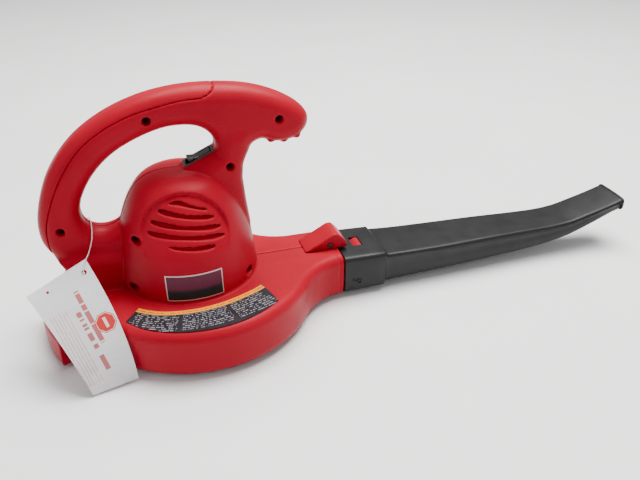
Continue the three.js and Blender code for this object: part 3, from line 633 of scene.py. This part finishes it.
def shell_field(grid, solid):
    in_arch = 1 - smooth_step(arch_distance(grid), -3, 3)
    wall = WALL + BLADE_EXTRA * in_arch * smooth_step(np.abs(grid.y), 20, 26)
    shell = np.maximum(solid, -(solid + wall))
    inset = WALL + 5.5 * (1 - smooth_step(grid.z, 5, 12))
    plan = outline_distance(grid.x[:, :, 0], grid.y[:, :, 0], volute_outline(0, DUCT_END + 2))
    floor = np.maximum(plan[:, :, None] + inset, np.abs(grid.z + 4) - 16)
    shell = cut(shell, np.maximum(floor, grid.x - DUCT_END + 4))
    shell = np.minimum(shell, keep(section_field(grid, *SPIGOT), np.abs(grid.x - 165) - 19, 0.8))
    shell = cut(shell, keep(section_field(grid, *SPIGOT_BORE), 128 - grid.x))
    for node in SCREWS:
        x, z, head = screw_place(node)
        face = head - SCREW_SUNK
        off = np.hypot(grid.x - x, grid.z - z)
        boss = cylinder(off, BOSS_RADIUS, grid.y, face - 4, -face + 4)
        shell = join(shell, np.maximum(boss, solid + 0.4), 1.5)
        shell = cut(shell, cylinder(off, SCREW_HOLE, grid.y, -90, face + SCREW_DEPTH, 0.4), 1.2)
    shell = cut(shell, louvre_field(grid, solid), 0.5)
    up, above = panel_axes(grid)
    opening = np.maximum(np.maximum(np.abs(up) - 14.0, np.abs(grid.y) - 7.3), np.abs(above + 4.5) - 12.5)
    shell = cut(shell, opening)
    shell = cut(shell, block(grid, *INLET_PORT, 1.5), 1.0)
    return cut(shell, block(grid, *LUG_PORT, 0.5))


def rib_field(grid):
    """Three finger ribs under the handle's nose."""
    offs = [np.hypot(grid.x - x, grid.z - z) for x, z in RIBS]
    return cylinder(np.minimum.reduce(offs), RIB_RADIUS, grid.y, -RIB_HALF, RIB_HALF, 2.4)


def make_housing():
    """The three moulded shells. Each seam is a fine groove, closed inside by a tongue on the lower halves."""
    grid = Grid((-144, -114, -1), (188, 108, 234), COARSE)
    solid = outside_field(grid)
    shell = join(shell_field(grid, solid), rib_field(grid), 1.5)
    seam_outline = [*spline(SEAM), (-150, 86), (-150, 250), (41, 250)]
    seam = outline_distance(grid.x[:, 0], grid.z[0], seam_outline)[:, None, :]
    tongue = np.maximum(solid + 1.4, -3.5 - seam)
    below = keep(shell, np.minimum(SEAM_GAP - seam, tongue), SEAM_ROUND)
    cover = keep(shell, np.maximum(seam + SEAM_GAP, np.minimum(-0.3 - tongue, 3.8 + seam)), SEAM_ROUND)
    right = keep(below, grid.y + SEAM_GAP, SEAM_ROUND)
    left = keep(below, SEAM_GAP - grid.y, SEAM_ROUND)
    for node, field in (("housing_right", right), ("housing_left", left), ("grip_cover", cover)):
        field_piece(f"{node}_shell", grid, field, RED, "housing", "red_plastic", [node])


# ---- Blower tube ----

TUBE_WALL = 2.2
COLLAR_START = 152.0
# x, half width, top, underside, top corner, lower corner, and how far the sides draw in at mid height
TUBE = [
    (200, 29.8, 43.0, 7.0, 3.8, 7.0, 0.6),
    (220, 29.0, 41.9, 7.4, 3.8, 7.0, 1.2),
    (265, 27.9, 40.8, 8.3, 3.8, 7.0, 2.0),
    (320, 25.8, 40.3, 10.0, 3.6, 6.4, 2.4),
    (372, 23.6, 39.2, 12.2, 3.5, 5.6, 2.6),
    (400, 22.8, 39.0, 15.2, 3.4, 4.8, 2.4),
    (424, 22.3, 41.0, 20.0, 3.3, 4.2, 2.1),
    (446, 22.0, 46.2, 27.6, 3.2, 3.8, 1.6),
    (466, 21.9, 51.4, 35.8, 3.2, 3.6, 1.0),
    (486, 21.8, 57.4, 44.6, 3.2, 3.4, 0.3),
]
TUBE_LEAN = 2.4  # how far the sides draw in towards the underside
WINDOW_X = (168.1, 178.6)
WINDOW_HALF = 8.5


def tube_section(half, top, low, top_round, low_round, waist):
    """Points round a section, from the middle of the top towards +Y, with the window's edge on the top."""
    def corner(mid_y, mid_z, radius, start, steps=5):
        angles = [math.radians(start - 90 * i / steps) for i in range(steps + 1)]
        return [(mid_y + radius * math.cos(a), mid_z + radius * math.sin(a)) for a in angles]

    crown = 0.5
    edge = half - top_round
    lean = min(TUBE_LEAN, 4 * waist)
    right = [(t * edge, top - crown * t * t) for t in (0, 0.18)]
    right += [(min(WINDOW_HALF, edge * 0.55), top - crown * 0.2)]
    right += [(t * edge, top - crown * t * t) for t in (0.68, 0.86)]
    right += corner(edge, top - crown - top_round, top_round, 90)
    span = (top - crown - top_round) - (low + low_round)
    for t in (0.15, 0.3, 0.45, 0.6, 0.75, 0.9):
        drawn_in = waist * math.sin(math.pi * t ** 0.6) ** 2 + lean * t
        right.append((half - drawn_in, top - crown - top_round - t * span))
    right += [(y - lean, z) for y, z in corner(half - low_round, low + low_round, low_round, 0)]
    right += [(t * (half - low_round - lean), low) for t in (0.8, 0.5, 0.25, 0)]
    return right + [(-y, z) for y, z in right[-2:0:-1]]


def tube_stations():
    rows = [(COLLAR_START, 31.5, 47.0, 5.0, 4.4, 8.0, 0), (COLLAR_START + 0.5, 32, 47.5, 4.5, 4.8, 8.0, 0)]
    rows += [(x, 32 - (x - COLLAR_START) * 0.018, 47.5 - (x - COLLAR_START) * 0.033, 4.5, 4.8, 8.0, 0)
             for x in (158, WINDOW_X[0], 173, WINDOW_X[1], 185, 195.6)]
    rows += [(196.3, 31.0, 45.8, 4.8, 4.5, 7.6, 0), (196.8, 30.5, 45.2, 5.4, 4.2, 7.4, 0.1),
             (197.4, 30.0, 44.0, 6.4, 4.0, 7.1, 0.2), (198.2, 29.9, 43.3, 6.9, 3.9, 7, 0.4)]
    rows += [tuple(p) for p in spline(TUBE, 6)]
    return rows


def make_tube():
    stations = tube_stations()
    x, half, top, low = stations[-1][:4]
    lip = [(x + dx, half + more, top + more + dx * 0.3, low - more + dx * 0.3, 3.8, 3.8, 0)
           for dx, more in ((0.3, 0.3), (0.9, 0.7), (1.7, 0.8), (2.5, 0.6), (3.0, 0.2), (3.3, -0.4))]
    outer = stations + lip
    inner = [(x, half - TUBE_WALL, top - TUBE_WALL, low + TUBE_WALL, 1.4, low_round * 0.7, waist)
             for x, half, top, low, _, low_round, waist in stations[:1] + stations[2:]]
    last = inner[-1]
    inner.append((lip[-1][0], last[1], last[2] + 0.9, last[3] + 0.9, *last[4:]))
    points = [(x, y, z) for x, *shape in outer + inner for y, z in tube_section(*shape)]
    around = len(points) // len(outer + inner)
    inner_start = len(outer) * around
    edge = 2  # point number of the window's edge on the +Y side
    in_window = set(range(edge)) | set(range(around - edge, around))

    def rings(rows, start, flip):
        """Faces round the tube but for the window, and the numbers of the points round the window."""
        first, last = (next(r for r, row in enumerate(rows) if row[0] == x) for x in WINDOW_X)
        faces = []
        for r in range(len(rows) - 1):
            for i in range(around):
                a, b = start + r * around + i, start + r * around + (i + 1) % around
                if not (first <= r < last and i in in_window):
                    faces.append((a + around, b + around, b, a) if flip else (a, b, b + around, a + around))
        loop = [(first, i) for i in range(-edge, edge)] + [(r, edge) for r in range(first, last)]
        loop += [(last, i) for i in range(edge, -edge, -1)] + [(r, -edge) for r in range(last, first, -1)]
        return faces, [start + r * around + i % around for r, i in loop]

    faces, outer_rim = rings(outer, 0, False)
    inner_faces, inner_rim = rings(inner, inner_start, True)
    faces += inner_faces
    last_outer, last_inner = inner_start - around, len(points) - around
    for i in range(around):
        j = (i + 1) % around
        faces.append((j, i, inner_start + i, inner_start + j))
        faces.append((last_outer + i, last_outer + j, last_inner + j, last_inner + i))
    rim = list(zip(outer_rim, inner_rim))
    faces += [(a, b, d, c) for (a, b), (c, d) in zip(rim, rim[1:] + rim[:1])]
    tube = piece("blower_tube_shell", points, faces, CHARCOAL, "tube", "tube_grey", ["blower_tube"])
    tube.data.set_sharp_from_angle(angle=math.radians(34))


def make_collar_marks():
    """Two shallow moulded pips on the collar's near side."""
    grid = Grid((156, -36, 12), (174, -27, 26), 0.35)
    field = np.float32(1e3)
    for x, z, radius in ((161.8, 20.3, 1.7), (167.6, 18.0, 3.1)):
        off = np.hypot(grid.x - x, grid.z - z)
        field = np.minimum(field, np.hypot(off - radius * 0.72, grid.y + 31.9) - radius * 0.28)
    field_piece("collar_pips", grid, field, CHARCOAL, "tube", "tube_grey")


# ---- Latch ----

WEDGE_BASE = 50.4
WEDGE = [(114.6, WEDGE_BASE), (124, 55.4), (133, 59.8), (143.6, 65.6), (146.6, 66.6), (150, 66.2), (153, 63.8),
         (159.4, 55.2), (160, WEDGE_BASE)]
WEDGE_HALF = 14.0
PIN_X, PIN_Z = 142.0, 54.4
PIN_HOLE = 3.0
LUG_START = 168.6


def make_latch():
    grid = Grid((109, -17, 48), (163, 17, 73), FINE)
    body = keep(outline_field(grid, spline(WEDGE, 5), WEDGE_HALF, 1.6), WEDGE_BASE - grid.z)
    off = np.hypot(grid.x - PIN_X, grid.z - PIN_Z)
    body = cut(body, cylinder(off, PIN_HOLE, grid.y, -40, -11, 0.3), 0.8)
    body = cut(body, block(grid, (124, -11, 40), (155.4, 11, 52.2), 1.0))
    field_piece("latch_cover_shell", grid, body, RED, "housing", "red_plastic", ["latch_cover"])

    grid = Grid((158, -10, 37), (183, 10, 48), FINE * 0.8)
    tongue = block(grid, (160, -8, 39), (181, 8, 41.4), 0.6)
    lug = block(grid, (LUG_START, -8, 40), (178, 8, 46.6), 1.0)
    slope = (grid.x - LUG_START) * 0.5 - (grid.z - 43.4) * 0.87
    field = join(tongue, keep(lug, -slope - 0.2, 1.0), 1.0)
    field_piece("latch_lug", grid, field, RED, "latch", "red_plastic", ["latch_button"])


# ---- Switch ----

ROCKER_TILT = math.radians(11)  # at rest, against the panel
PIVOT_DEPTH = 3.0  # of the rocker's axis under the panel


def make_switch():
    grid = Grid((-2, -10, 140), (44, 10, 176), FINE)
    up, above = panel_axes(grid)

    def bar(u0, u1, half_y, n0, n1, rounding):
        """A box along the panel from u0 to u1 and above it from n0 to n1."""
        half = ((u1 - u0) / 2, half_y, (n1 - n0) / 2)
        return box_field(up - (u0 + u1) / 2, grid.y, above - (n0 + n1) / 2, half, rounding)

    case = join(bar(-15.6, 15.6, 8.2, 0.3, 1.7, 0.6), bar(-13.6, 13.6, 6.9, -12, 1, 0.6), 0.5)
    case = cut(case, bar(-12.8, 12.8, 5.2, -10.3, 6, 0.5), 0.7)
    for u in (-8, 4):
        case = np.minimum(case, bar(u, u + 1, 2.4, -18, -11, 0.2))
    field_piece("switch_bezel", grid, case, BEZEL, "housing", "black_plastic", ["switch_case"])

    tilt = PANEL_TILT - ROCKER_TILT
    dx = grid.x[:, 0] - (PANEL_MID[0] + PIVOT_DEPTH * math.sin(PANEL_TILT))
    dz = grid.z[0] - (PANEL_MID[1] - PIVOT_DEPTH * math.cos(PANEL_TILT))
    along = dx * math.cos(tilt) + dz * math.sin(tilt)
    over = -dx * math.sin(tilt) + dz * math.cos(tilt)
    crest = spline([(-11, 6.9), (-8.2, 6.3), (-4.3, 5.4), (0, 4.8), (4.3, 5.4), (8.2, 6.3), (11, 6.9)], 4)
    outline = [*crest, (10.6, 0.5), (4, -5.4), (-4, -5.4), (-10.6, 0.5)]
    rocker = slab(outline_distance(along, over, outline)[:, None, :], grid.y, 4.8, 0.9)
    field_piece("rocker_key", grid, rocker, SWITCH, "rocker", "switch_black", ["rocker"])


# ---- Screws ----


def turned(profile, sides=40):
    """Points and faces of a profile of radius and height turned about z, both its ends on the axis."""
    points = [(0, 0, profile[0][1]), (0, 0, profile[-1][1])]
    for radius, z in profile[1:-1]:
        points += [(*polar(radius, 360 * i / sides), z) for i in range(sides)]
    faces = []
    rows = len(profile) - 2
    for i in range(sides):
        j = (i + 1) % sides
        faces.append((0, 2 + j, 2 + i))
        for r in range(rows - 1):
            a, b = 2 + r * sides + i, 2 + r * sides + j
            faces.append((a, b, b + sides, a + sides))
        faces.append((2 + (rows - 1) * sides + i, 2 + (rows - 1) * sides + j, 1))
    return np.array(points), faces


def make_screws():
    """Pan-head screws with a cross recess, their heads sunk in the housing."""
    for node in SCREWS:
        x, z, face = screw_place(node)
        grid = Grid((x - 4, face - 0.6, z - 4), (x + 4, face + 5, z + 4), 0.25)
        off = np.hypot(grid.x - x, grid.z - z)
        dome = np.sqrt(off ** 2 + (grid.y - face - 4.4) ** 2) - 4.5
        head = keep(cylinder(off, 3.2, grid.y, face, face + 2.7, 0.3), dome, 0.3)
        head = np.minimum(head, cylinder(off, 1.6, grid.y, face + 2, face + 4.6, 0.2))
        for across, other in ((grid.x - x, grid.z - z), (grid.z - z, grid.x - x)):
            slot = np.maximum(np.maximum(np.abs(across) - 0.45, np.abs(other) - 1.7), grid.y - face - 1.5)
            head = cut(head, slot, 0.3)
        field_piece(f"{node}_head", grid, head, SCREW_STEEL, "housing", "steel", [node])


# ---- Base, guard, feet and fan ----

INTAKE_RADIUS = 50.0
FEET = ("foot_1", "foot_2", "foot_3", "foot_4")
FOOT_PROFILE = [(0, 1.2), (2.6, 1.2), (3.4, 1.0), (4.1, 0.5), (4.6, 0.1), (5.2, 0), (7.2, 0), (7.9, 0.25),
                (8.3, 0.8)]  # radius and height
FAN_RADIUS = 76.0
FAN_BORE = 4.4
BLADES = 9
BLADE_LINE = [(26.5, 0.9), (48, -20.8), (73, -17.2)]  # start, control point and end of a curved blade


def make_base():
    grid = Grid((-104, -114, 1), (152, 104, 9), step(1.0, 2.0))
    off = np.hypot(grid.x, grid.y)
    plate = plan_field(grid, volute_outline(WALL + 6.0, DUCT_END - 5), BASE_Z + 0.6, BASE_Z + 3.6, 0.5, 0.8)
    plate = cut(plate, off - INTAKE_RADIUS, 0.8)
    rim = slab(np.abs(off - INTAKE_RADIUS - 5) - 2.5, grid.z - (BASE_Z + 0.9), 0.9, 0.6)
    plate = join(plate, rim, 0.8)
    field_piece("base_plate_moulding", grid, plate, BLACK, "housing", "black_plastic", ["base_plate"])

    grid = Grid((-51, -51, 1), (51, 51, 8), step(0.8, 1.4))
    off = np.hypot(grid.x, grid.y)
    guard = slab(np.abs(off - INTAKE_RADIUS + 1.8) - 1.1, grid.z - (BASE_Z + 1.7), 1.7, 0.5)
    for radius in (13, 25, 37):
        guard = np.minimum(guard, slab(np.abs(off - radius) - 1.0, grid.z - (BASE_Z + 1.3), 1.2, 0.6))
    for angle in range(0, 180, 45):
        turn = math.radians(angle)
        side = np.abs(-grid.x * math.sin(turn) + grid.y * math.cos(turn)) - 1.2
        bar = slab(np.maximum(side, off - INTAKE_RADIUS + 2), grid.z - (BASE_Z + 1.5), 1.4, 0.6)
        guard = join(guard, bar, 0.8)
    field_piece("intake_grille", grid, guard, BLACK, "housing", "black_plastic", ["intake_guard"])

    for node in FEET:
        low, high = local_box(node)
        radius = (high[0] - low[0]) / 2
        top = high[2]
        rim = [(radius - 0.2, top - 0.5), (radius, top - 0.2), (radius - 0.3, top), (0, top)]
        points, faces = turned(FOOT_PROFILE + rim)
        points += ((low[0] + high[0]) / 2, (low[1] + high[1]) / 2, 0)
        piece(f"{node}_pad", points, faces, RUBBER, "housing", "rubber", [node])


def make_impeller():
    grid = Grid((-78, -78, 10), (78, 78, 47), step(1.1, 2.0))
    off = np.hypot(grid.x, grid.y)
    hub = cylinder(off, 11, grid.z, 16, 45.4, 1.0)
    fan = np.minimum(cylinder(off, FAN_RADIUS, grid.z, 38.4, 40.6, 0.6), hub)
    middle = bend(*BLADE_LINE, 8)
    x, y = grid.x[:, :, 0], grid.y[:, :, 0]
    for number in range(BLADES):
        turn = 2 * math.pi * number / BLADES
        u = x * math.cos(turn) + y * math.sin(turn)
        v = -x * math.sin(turn) + y * math.cos(turn)
        blade = slab((line_distance(u, v, middle) - 1.0)[:, :, None], grid.z - 25.5, 14.3, 0.7)
        fan = join(fan, blade, 2.0)
    fan = cut(fan, off - FAN_BORE)
    field_piece("impeller_moulding", grid, fan, BLACK, "rotor", "black_plastic", ["impeller"])


# ---- Labels ----


def sheet_piece(name, at, counts, material, slot, node, thickness):
    """A thin curved sheet, closed at its back and edges.

    For two shares of 0 to 1, `at` gives a point, its place on the flat sheet and the way it faces.
    """
    across, down = counts
    spots = [at(i / (across - 1), j / (down - 1)) for j in range(down) for i in range(across)]
    front, flat, facing = (np.array(part, float) for part in zip(*spots))
    layer = len(front)
    faces = [(a, a + 1, a + across + 1, a + across) for r in range(down - 1)
             for a in range(r * across, (r + 1) * across - 1)]
    faces += [tuple(v + layer for v in face[::-1]) for face in faces]
    rim = list(range(across)) + [r * across + across - 1 for r in range(1, down)]
    rim += [(down - 1) * across + i for i in range(across - 2, -1, -1)]
    rim += [r * across for r in range(down - 2, 0, -1)]
    faces += [(b, a, a + layer, b + layer) for a, b in zip(rim, [*rim[1:], rim[0]])]
    points = np.vstack([front, front - facing * thickness])
    data = piece(name, points, faces, material, "housing", slot, [node]).data
    data.set_sharp_from_angle(angle=math.radians(50))
    corners = np.empty(len(data.loops), np.int32)
    data.loops.foreach_get("vertex_index", corners)
    places = np.vstack([flat, flat])[corners].astype(np.float32)
    data.uv_layers.new(name="sheet").data.foreach_set("uv", places.ravel())


LABEL_OUTER = [(229.3, 100), (239.4, 103.6), (250, 105.7), (260, 107), (272, 108.2), (285, 109.2), (297, 109.4),
               (309.2, 109.2)]
LABEL_INNER = [(228.5, 79.3), (243, 78.4), (257, 76.4), (271.5, 75.2), (283, 75), (300, 76.5), (317.2, 81.4)]
LABEL_STRIP = 5.4  # width of the orange strip
LABEL_RADIUS = 92.0  # middle radius of the label
LABEL_DIVIDERS = (257.5, 286.5)  # angles of the dividers
PRINT_STRENGTH = 0.8
FILM_GRAIN = 0.00001  # height of the grain of film, plates and nylon, in metres


def printed_lines(s, along, down, pitch, fill, seed):
    """Rows of short dashes that read as fine print without holding any letter."""
    row = s.math("DIVIDE", down, pitch)
    in_row = s.under(s.off(s.math("FRACT", row), 0.5), 0.19)
    parts = {0: s.times(along, 1.1 / pitch), 1: s.times(s.math("FLOOR", row), 7.31), 2: seed}
    vector = s.node("ShaderNodeCombineXYZ", parts).outputs[0]
    return s.times(in_row, s.over(s.noise(1.0, 3, 0.8, vector=vector), 1 - fill))


def label_length(angle):
    """Distance along the label's middle from its rear end."""
    return math.radians(angle - LABEL_INNER[0][0]) * LABEL_RADIUS


def label_material():
    """Printed film: an orange strip along the inner edge, and three columns of fine print on black."""
    s = Shader("label_film")
    along, down = s.sheet_axes()
    fine = printed_lines(s, along, down, 2.7, 0.5, 3.1)
    columns = s.times(s.over(down, LABEL_STRIP + 1.2), s.under(down, 29.0), s.over(along, 4.5),
                      s.under(along, label_length(310)),
                      *(s.over(s.off(along, label_length(angle)), 1.9) for angle in LABEL_DIVIDERS))
    dark = s.mix(s.varied(40, 3), (0.01, 0.009, 0.012), (0.017, 0.016, 0.02))
    ground = s.mix(s.times(fine, columns, PRINT_STRENGTH), dark, (0.3, 0.29, 0.32))
    bars = printed_lines(s, along, s.math("SUBTRACT", down, 1.25), 2.9, 0.52, 8.7)
    on_strip = s.times(bars, s.under(s.off(down, LABEL_STRIP / 2), 1.2), PRINT_STRENGTH)
    orange = s.mix(on_strip, (0.76, 0.25, 0.003), (0.08, 0.04, 0.01))
    colour = s.mix(s.under(down, LABEL_STRIP), ground, orange)
    return s.finish(colour, s.varied(90, 3, 0.34, 0.46), s.bump(s.noise(700, 2), FILM_GRAIN), specular=0.2)


def at_share(curve, share):
    """The place at a share of the way through a curve's points."""
    place = share * (len(curve) - 1)
    low = min(int(place), len(curve) - 2)
    (a0, b0), (a1, b1) = curve[low], curve[low + 1]
    part = place - low
    return a0 + (a1 - a0) * part, b0 + (b1 - b0) * part


def make_label():
    outer, inner = spline(LABEL_OUTER, 10), spline(LABEL_INNER, 10)

    def at(share, in_share):
        outer_angle, outer_radius = at_share(outer, share)
        inner_angle, inner_radius = at_share(inner, share)
        angle = outer_angle + (inner_angle - outer_angle) * in_share
        radius = outer_radius + (inner_radius - outer_radius) * in_share
        place = (label_length(angle), radius - inner_radius)
        return (*polar(radius, angle), VOLUTE_TOP + 0.5), place, (0, 0, 1)

    sheet_piece("label_film", at, (81, 10), label_material(), "label", "caution_label", 0.3)


def badge_material():
    """Printed plate: a silver border, a dark red band over a black one."""
    s = Shader("badge_plate")
    along, up = s.sheet_axes()
    grain = s.noise(80, 3)
    shade = s.span(grain, 0.3, 0.7)
    red = s.mix(shade, (0.085, 0.006, 0.024), (0.11, 0.009, 0.032))
    black = s.mix(shade, (0.006, 0.006, 0.007), (0.01, 0.01, 0.011))
    ground = s.mix(s.span(up, BADGE_SPLIT - 2.2, BADGE_SPLIT + 1.2), black, red)
    from_side = s.math("SUBTRACT", BADGE_HALF, s.math("ABSOLUTE", along))
    from_end = s.math("SUBTRACT", BADGE_HEIGHT / 2, s.off(up, BADGE_HEIGHT / 2))
    border = s.under(s.math("MINIMUM", from_side, from_end), BADGE_BORDER)
    return s.finish(s.mix(border, ground, (0.5, 0.36, 0.36)), s.span(grain, 0.3, 0.7, 0.28, 0.38),
                    s.bump(s.noise(500, 2), FILM_GRAIN), specular=0.2, Metallic=s.times(border, 0.5))


BADGE_LEFT, BADGE_RIGHT = -27.0, 24.0
BADGE_LOW, BADGE_TOP = 54.2, 78.8
BADGE_HALF = (BADGE_RIGHT - BADGE_LEFT) / 2
BADGE_HEIGHT = BADGE_TOP - BADGE_LOW
BADGE_SPLIT = 10.6  # height of the black band
BADGE_BORDER = 0.9


def dome_radius(z):
    return np.interp(z, [p[1] for p in DOME], [p[0] for p in DOME])


def make_badge():
    def at(share, up):
        x, z = BADGE_LEFT + 2 * BADGE_HALF * share, BADGE_LOW + BADGE_HEIGHT * up
        radius = dome_radius(z) + 0.9
        y = -math.sqrt(radius ** 2 - x * x)
        return (x, y, z), (x - BADGE_LEFT - BADGE_HALF, z - BADGE_LOW), (x / radius, y / radius, 0)

    sheet_piece("badge_sheet", at, (41, 13), badge_material(), "badge", "badge_plate", 0.7)


# ---- Hang tag and its tie ----

TAG_CORNERS = [(-143, -48, 74), (-91, -30, 92), (-62, -97, 3.4), (-101, -106, 2)]
TIE_ROUTE = [(-94.2, -43.6, 86), (-92.7, -38, 89.6), (-90.4, -32.6, 93), (-88.2, -28.4, 95), (-86, -25, 98.6),
             (-83.5, -22.5, 104.6), (-82.2, -17.5, 109.8), (-82, -9, 112.6), (-82.4, 0, 113), (-83.6, 9, 111.8),
             (-86, 17, 107.5), (-91, 21.5, 101), (-98, 24, 93), (-104, 25, 84), (-108.5, 23, 75),
             (-111.5, 15, 68), (-112.5, 4, 64.5), (-112.5, -8, 63.5), (-111, -18, 65), (-107, -27, 70),
             (-101, -35, 77.5), (-95.4, -40, 83.4)]
CARD_SIGN = (46.5, 52.0)  # middle of the octagon, across the card and down it
CARD_SIGN_HALF = 8.6
CARD_RULES = [(37.0, 2.1, 16, 66), (30.5, 2.1, 32, 88)]  # middle across, half width, start and end down
CARD_GRAIN = 0.00008  # height of the paper's grain, in metres
TIE_R = 0.45
KNOT = np.array([-93.9, -43.0, 85.4])
KNOT_R = 1.3


def card_material():
    """White coated card, its paper coloured grey as painted shade, with a plain red octagon and rows of plain
    rules, drawn in the card's millimetres.
    """
    s = Shader("card")
    top_rear, top_front, low_front, low_rear = np.array(TAG_CORNERS, float)
    down_axis = (low_front + low_rear - top_rear - top_front) / 2
    down_axis /= np.linalg.norm(down_axis)
    across_axis = top_front - top_rear
    across_axis -= down_axis * (across_axis @ down_axis)
    across_axis /= np.linalg.norm(across_axis)

    def place(axis):
        """Millimetres from the card's top rear corner along an axis of the card."""
        made = s.node("ShaderNodeVectorMath", {0: s.where, 1: axis}, operation="DOT_PRODUCT")
        start = float(local_to_row(top_rear) @ axis)
        return s.times(s.math("SUBTRACT", made.outputs["Value"], start), 1000.0)

    across, down = place(across_axis), place(down_axis)
    # The paper's grey is painted shade: the white card is darkened in its colour for the shade it lies in.
    paper = s.mix(s.span(s.noise(35, 4), 0.35, 0.7), (0.63, 0.61, 0.63), (0.71, 0.69, 0.7))
    smudges = s.times(s.span(s.noise(60, 4, 0.7), 0.56, 0.75), 0.4)
    paper = s.mix(smudges, paper, (0.42, 0.39, 0.38))
    # The card gets darker towards its lower end, in noisy patches.
    lower_end_darkening = s.times(s.span(down, 92, 118), s.span(s.noise(90, 4, 0.7), 0.35, 0.6), 0.55)
    paper = s.mix(lower_end_darkening, paper, (0.3, 0.27, 0.25))

    du, dv = s.off(across, CARD_SIGN[0]), s.off(down, CARD_SIGN[1])
    slant = s.times(s.math("ADD", du, dv), math.sqrt(0.5))
    octagon = s.math("MAXIMUM", s.math("MAXIMUM", du, dv), slant)
    sign = s.under(octagon, CARD_SIGN_HALF)
    ring = s.times(s.over(octagon, CARD_SIGN_HALF - 1.2), s.under(octagon, CARD_SIGN_HALF - 0.7))
    bar = s.times(s.under(du, 1.3), s.under(dv, 4.6))

    rules = 0.0
    for middle, half, start, end in CARD_RULES:
        vector = s.node("ShaderNodeCombineXYZ", {0: s.times(down, 0.3), 1: middle}).outputs[0]
        words = s.over(s.noise(1.0, 1, 0.5, vector=vector), 0.44)
        rule = s.times(s.under(s.off(across, middle), half), s.over(down, start), s.under(down, end), words)
        rules = s.math("MAXIMUM", rules, rule)
    small = s.times(printed_lines(s, down, across, 2.6, 0.58, 5.5), s.over(across, 7.0), s.under(across, 23.0),
                    s.over(down, 26.0), s.under(down, 94.0))

    colour = s.mix(s.times(small, 0.45), paper, (0.45, 0.1, 0.09))
    colour = s.mix(s.times(rules, 0.85), colour, (0.36, 0.015, 0.015))
    colour = s.mix(sign, colour, (0.5, 0.02, 0.015))
    colour = s.mix(s.math("MAXIMUM", ring, s.times(sign, bar)), colour, (0.7, 0.62, 0.6))
    return s.finish(colour, s.varied(60, 3, 0.42, 0.55), s.bump(s.noise(260, 3), CARD_GRAIN))


def nylon_material():
    s = Shader("nylon")
    colour = s.mix(s.noise(120, 3), (0.74, 0.72, 0.72), (0.84, 0.82, 0.82))
    return s.finish(colour, s.varied(200, 2, 0.18, 0.3), s.bump(s.noise(900, 2), FILM_GRAIN),
                    **{"Transmission Weight": 0.35, "IOR": 1.5})


def make_tie():
    data = bpy.data.curves.new("tag_tie_line", "CURVE")
    data.dimensions = "3D"
    data.bevel_depth = TIE_R * 0.001
    data.bevel_resolution = 4
    data.use_fill_caps = True
    line = data.splines.new("POLY")
    route = np.array(spline(TIE_ROUTE, 6)) * 0.001 + ORIGIN
    line.points.add(len(route) - 1)
    line.points.foreach_set("co", np.hstack([route, np.ones((len(route), 1))]).ravel())
    data.materials.append(nylon_material())
    tie = add_object("tag_tie_line", data)
    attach(tie, "housing")
    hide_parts("tag_tie")

    grid = Grid(KNOT - 3, KNOT + 3, 0.3)
    x, y, z = KNOT
    ball = np.sqrt((grid.x - x) ** 2 + (grid.y - y) ** 2 + (grid.z - z) ** 2) - KNOT_R
    knot = field_piece("tag_tie_knot", grid, ball, data.materials[0], "housing", "nylon")


# ---- Pieces inside the housing, as the CAD makes them ----

CAD_LOOKS = [
    (BLACK, ("motor_plate", "motor_bracket", "cooling_fan", "power_inlet", "brush_holder_near",
             "brush_holder_far", "lead_inlet_to_switch", "lead_switch_to_coil")),
    (LAMINATIONS, ("field_stack", "armature")),
    (COPPER, ("field_coil_front", "field_coil_rear", "commutator")),
    (STEEL, ("shaft", "bearing_lower", "bearing_upper", "fan_washer", "fan_nut")),
    (SCREW_STEEL, ("latch_cover_pin",)),
    (BRASS, ("blade_live", "blade_neutral")),
    (CARBON, ("carbon_brush_near", "carbon_brush_far")),
    (LEAD_WHITE, ("lead_inlet_to_brush",)),
    (card_material(), ("hang_tag",)),
]


def dress_cad_nodes():
    for material, nodes in CAD_LOOKS:
        for node in nodes:
            materials = NODES[node].data.materials
            materials.clear()
            materials.append(material)


# ---- Floor ----

FLOOR_REACH = 8.0  # metres from the middle to each side


def make_floor():
    s = Shader("floor")
    colour = s.mix(s.varied(5, 3), (0.80, 0.80, 0.80), (0.84, 0.84, 0.835))
    material = s.finish(colour, s.varied(30, 3, 0.5, 0.6), s.bump(s.noise(250, 3), 0.0002, 0.4))
    mesh = bpy.data.meshes.new("floor")
    corners = [(x * FLOOR_REACH, y * FLOOR_REACH, 0) for x, y in ((-1, -1), (1, -1), (1, 1), (-1, 1))]
    mesh.from_pydata(corners, [], [(0, 1, 2, 3)])
    mesh.materials.append(material)
    add_object("floor", mesh)


make_camera()
make_lights()
make_floor()
make_tie()
make_housing()
make_tube()
make_collar_marks()
make_latch()
make_switch()
make_screws()
make_base()
make_impeller()
make_label()
make_badge()
dress_cad_nodes()
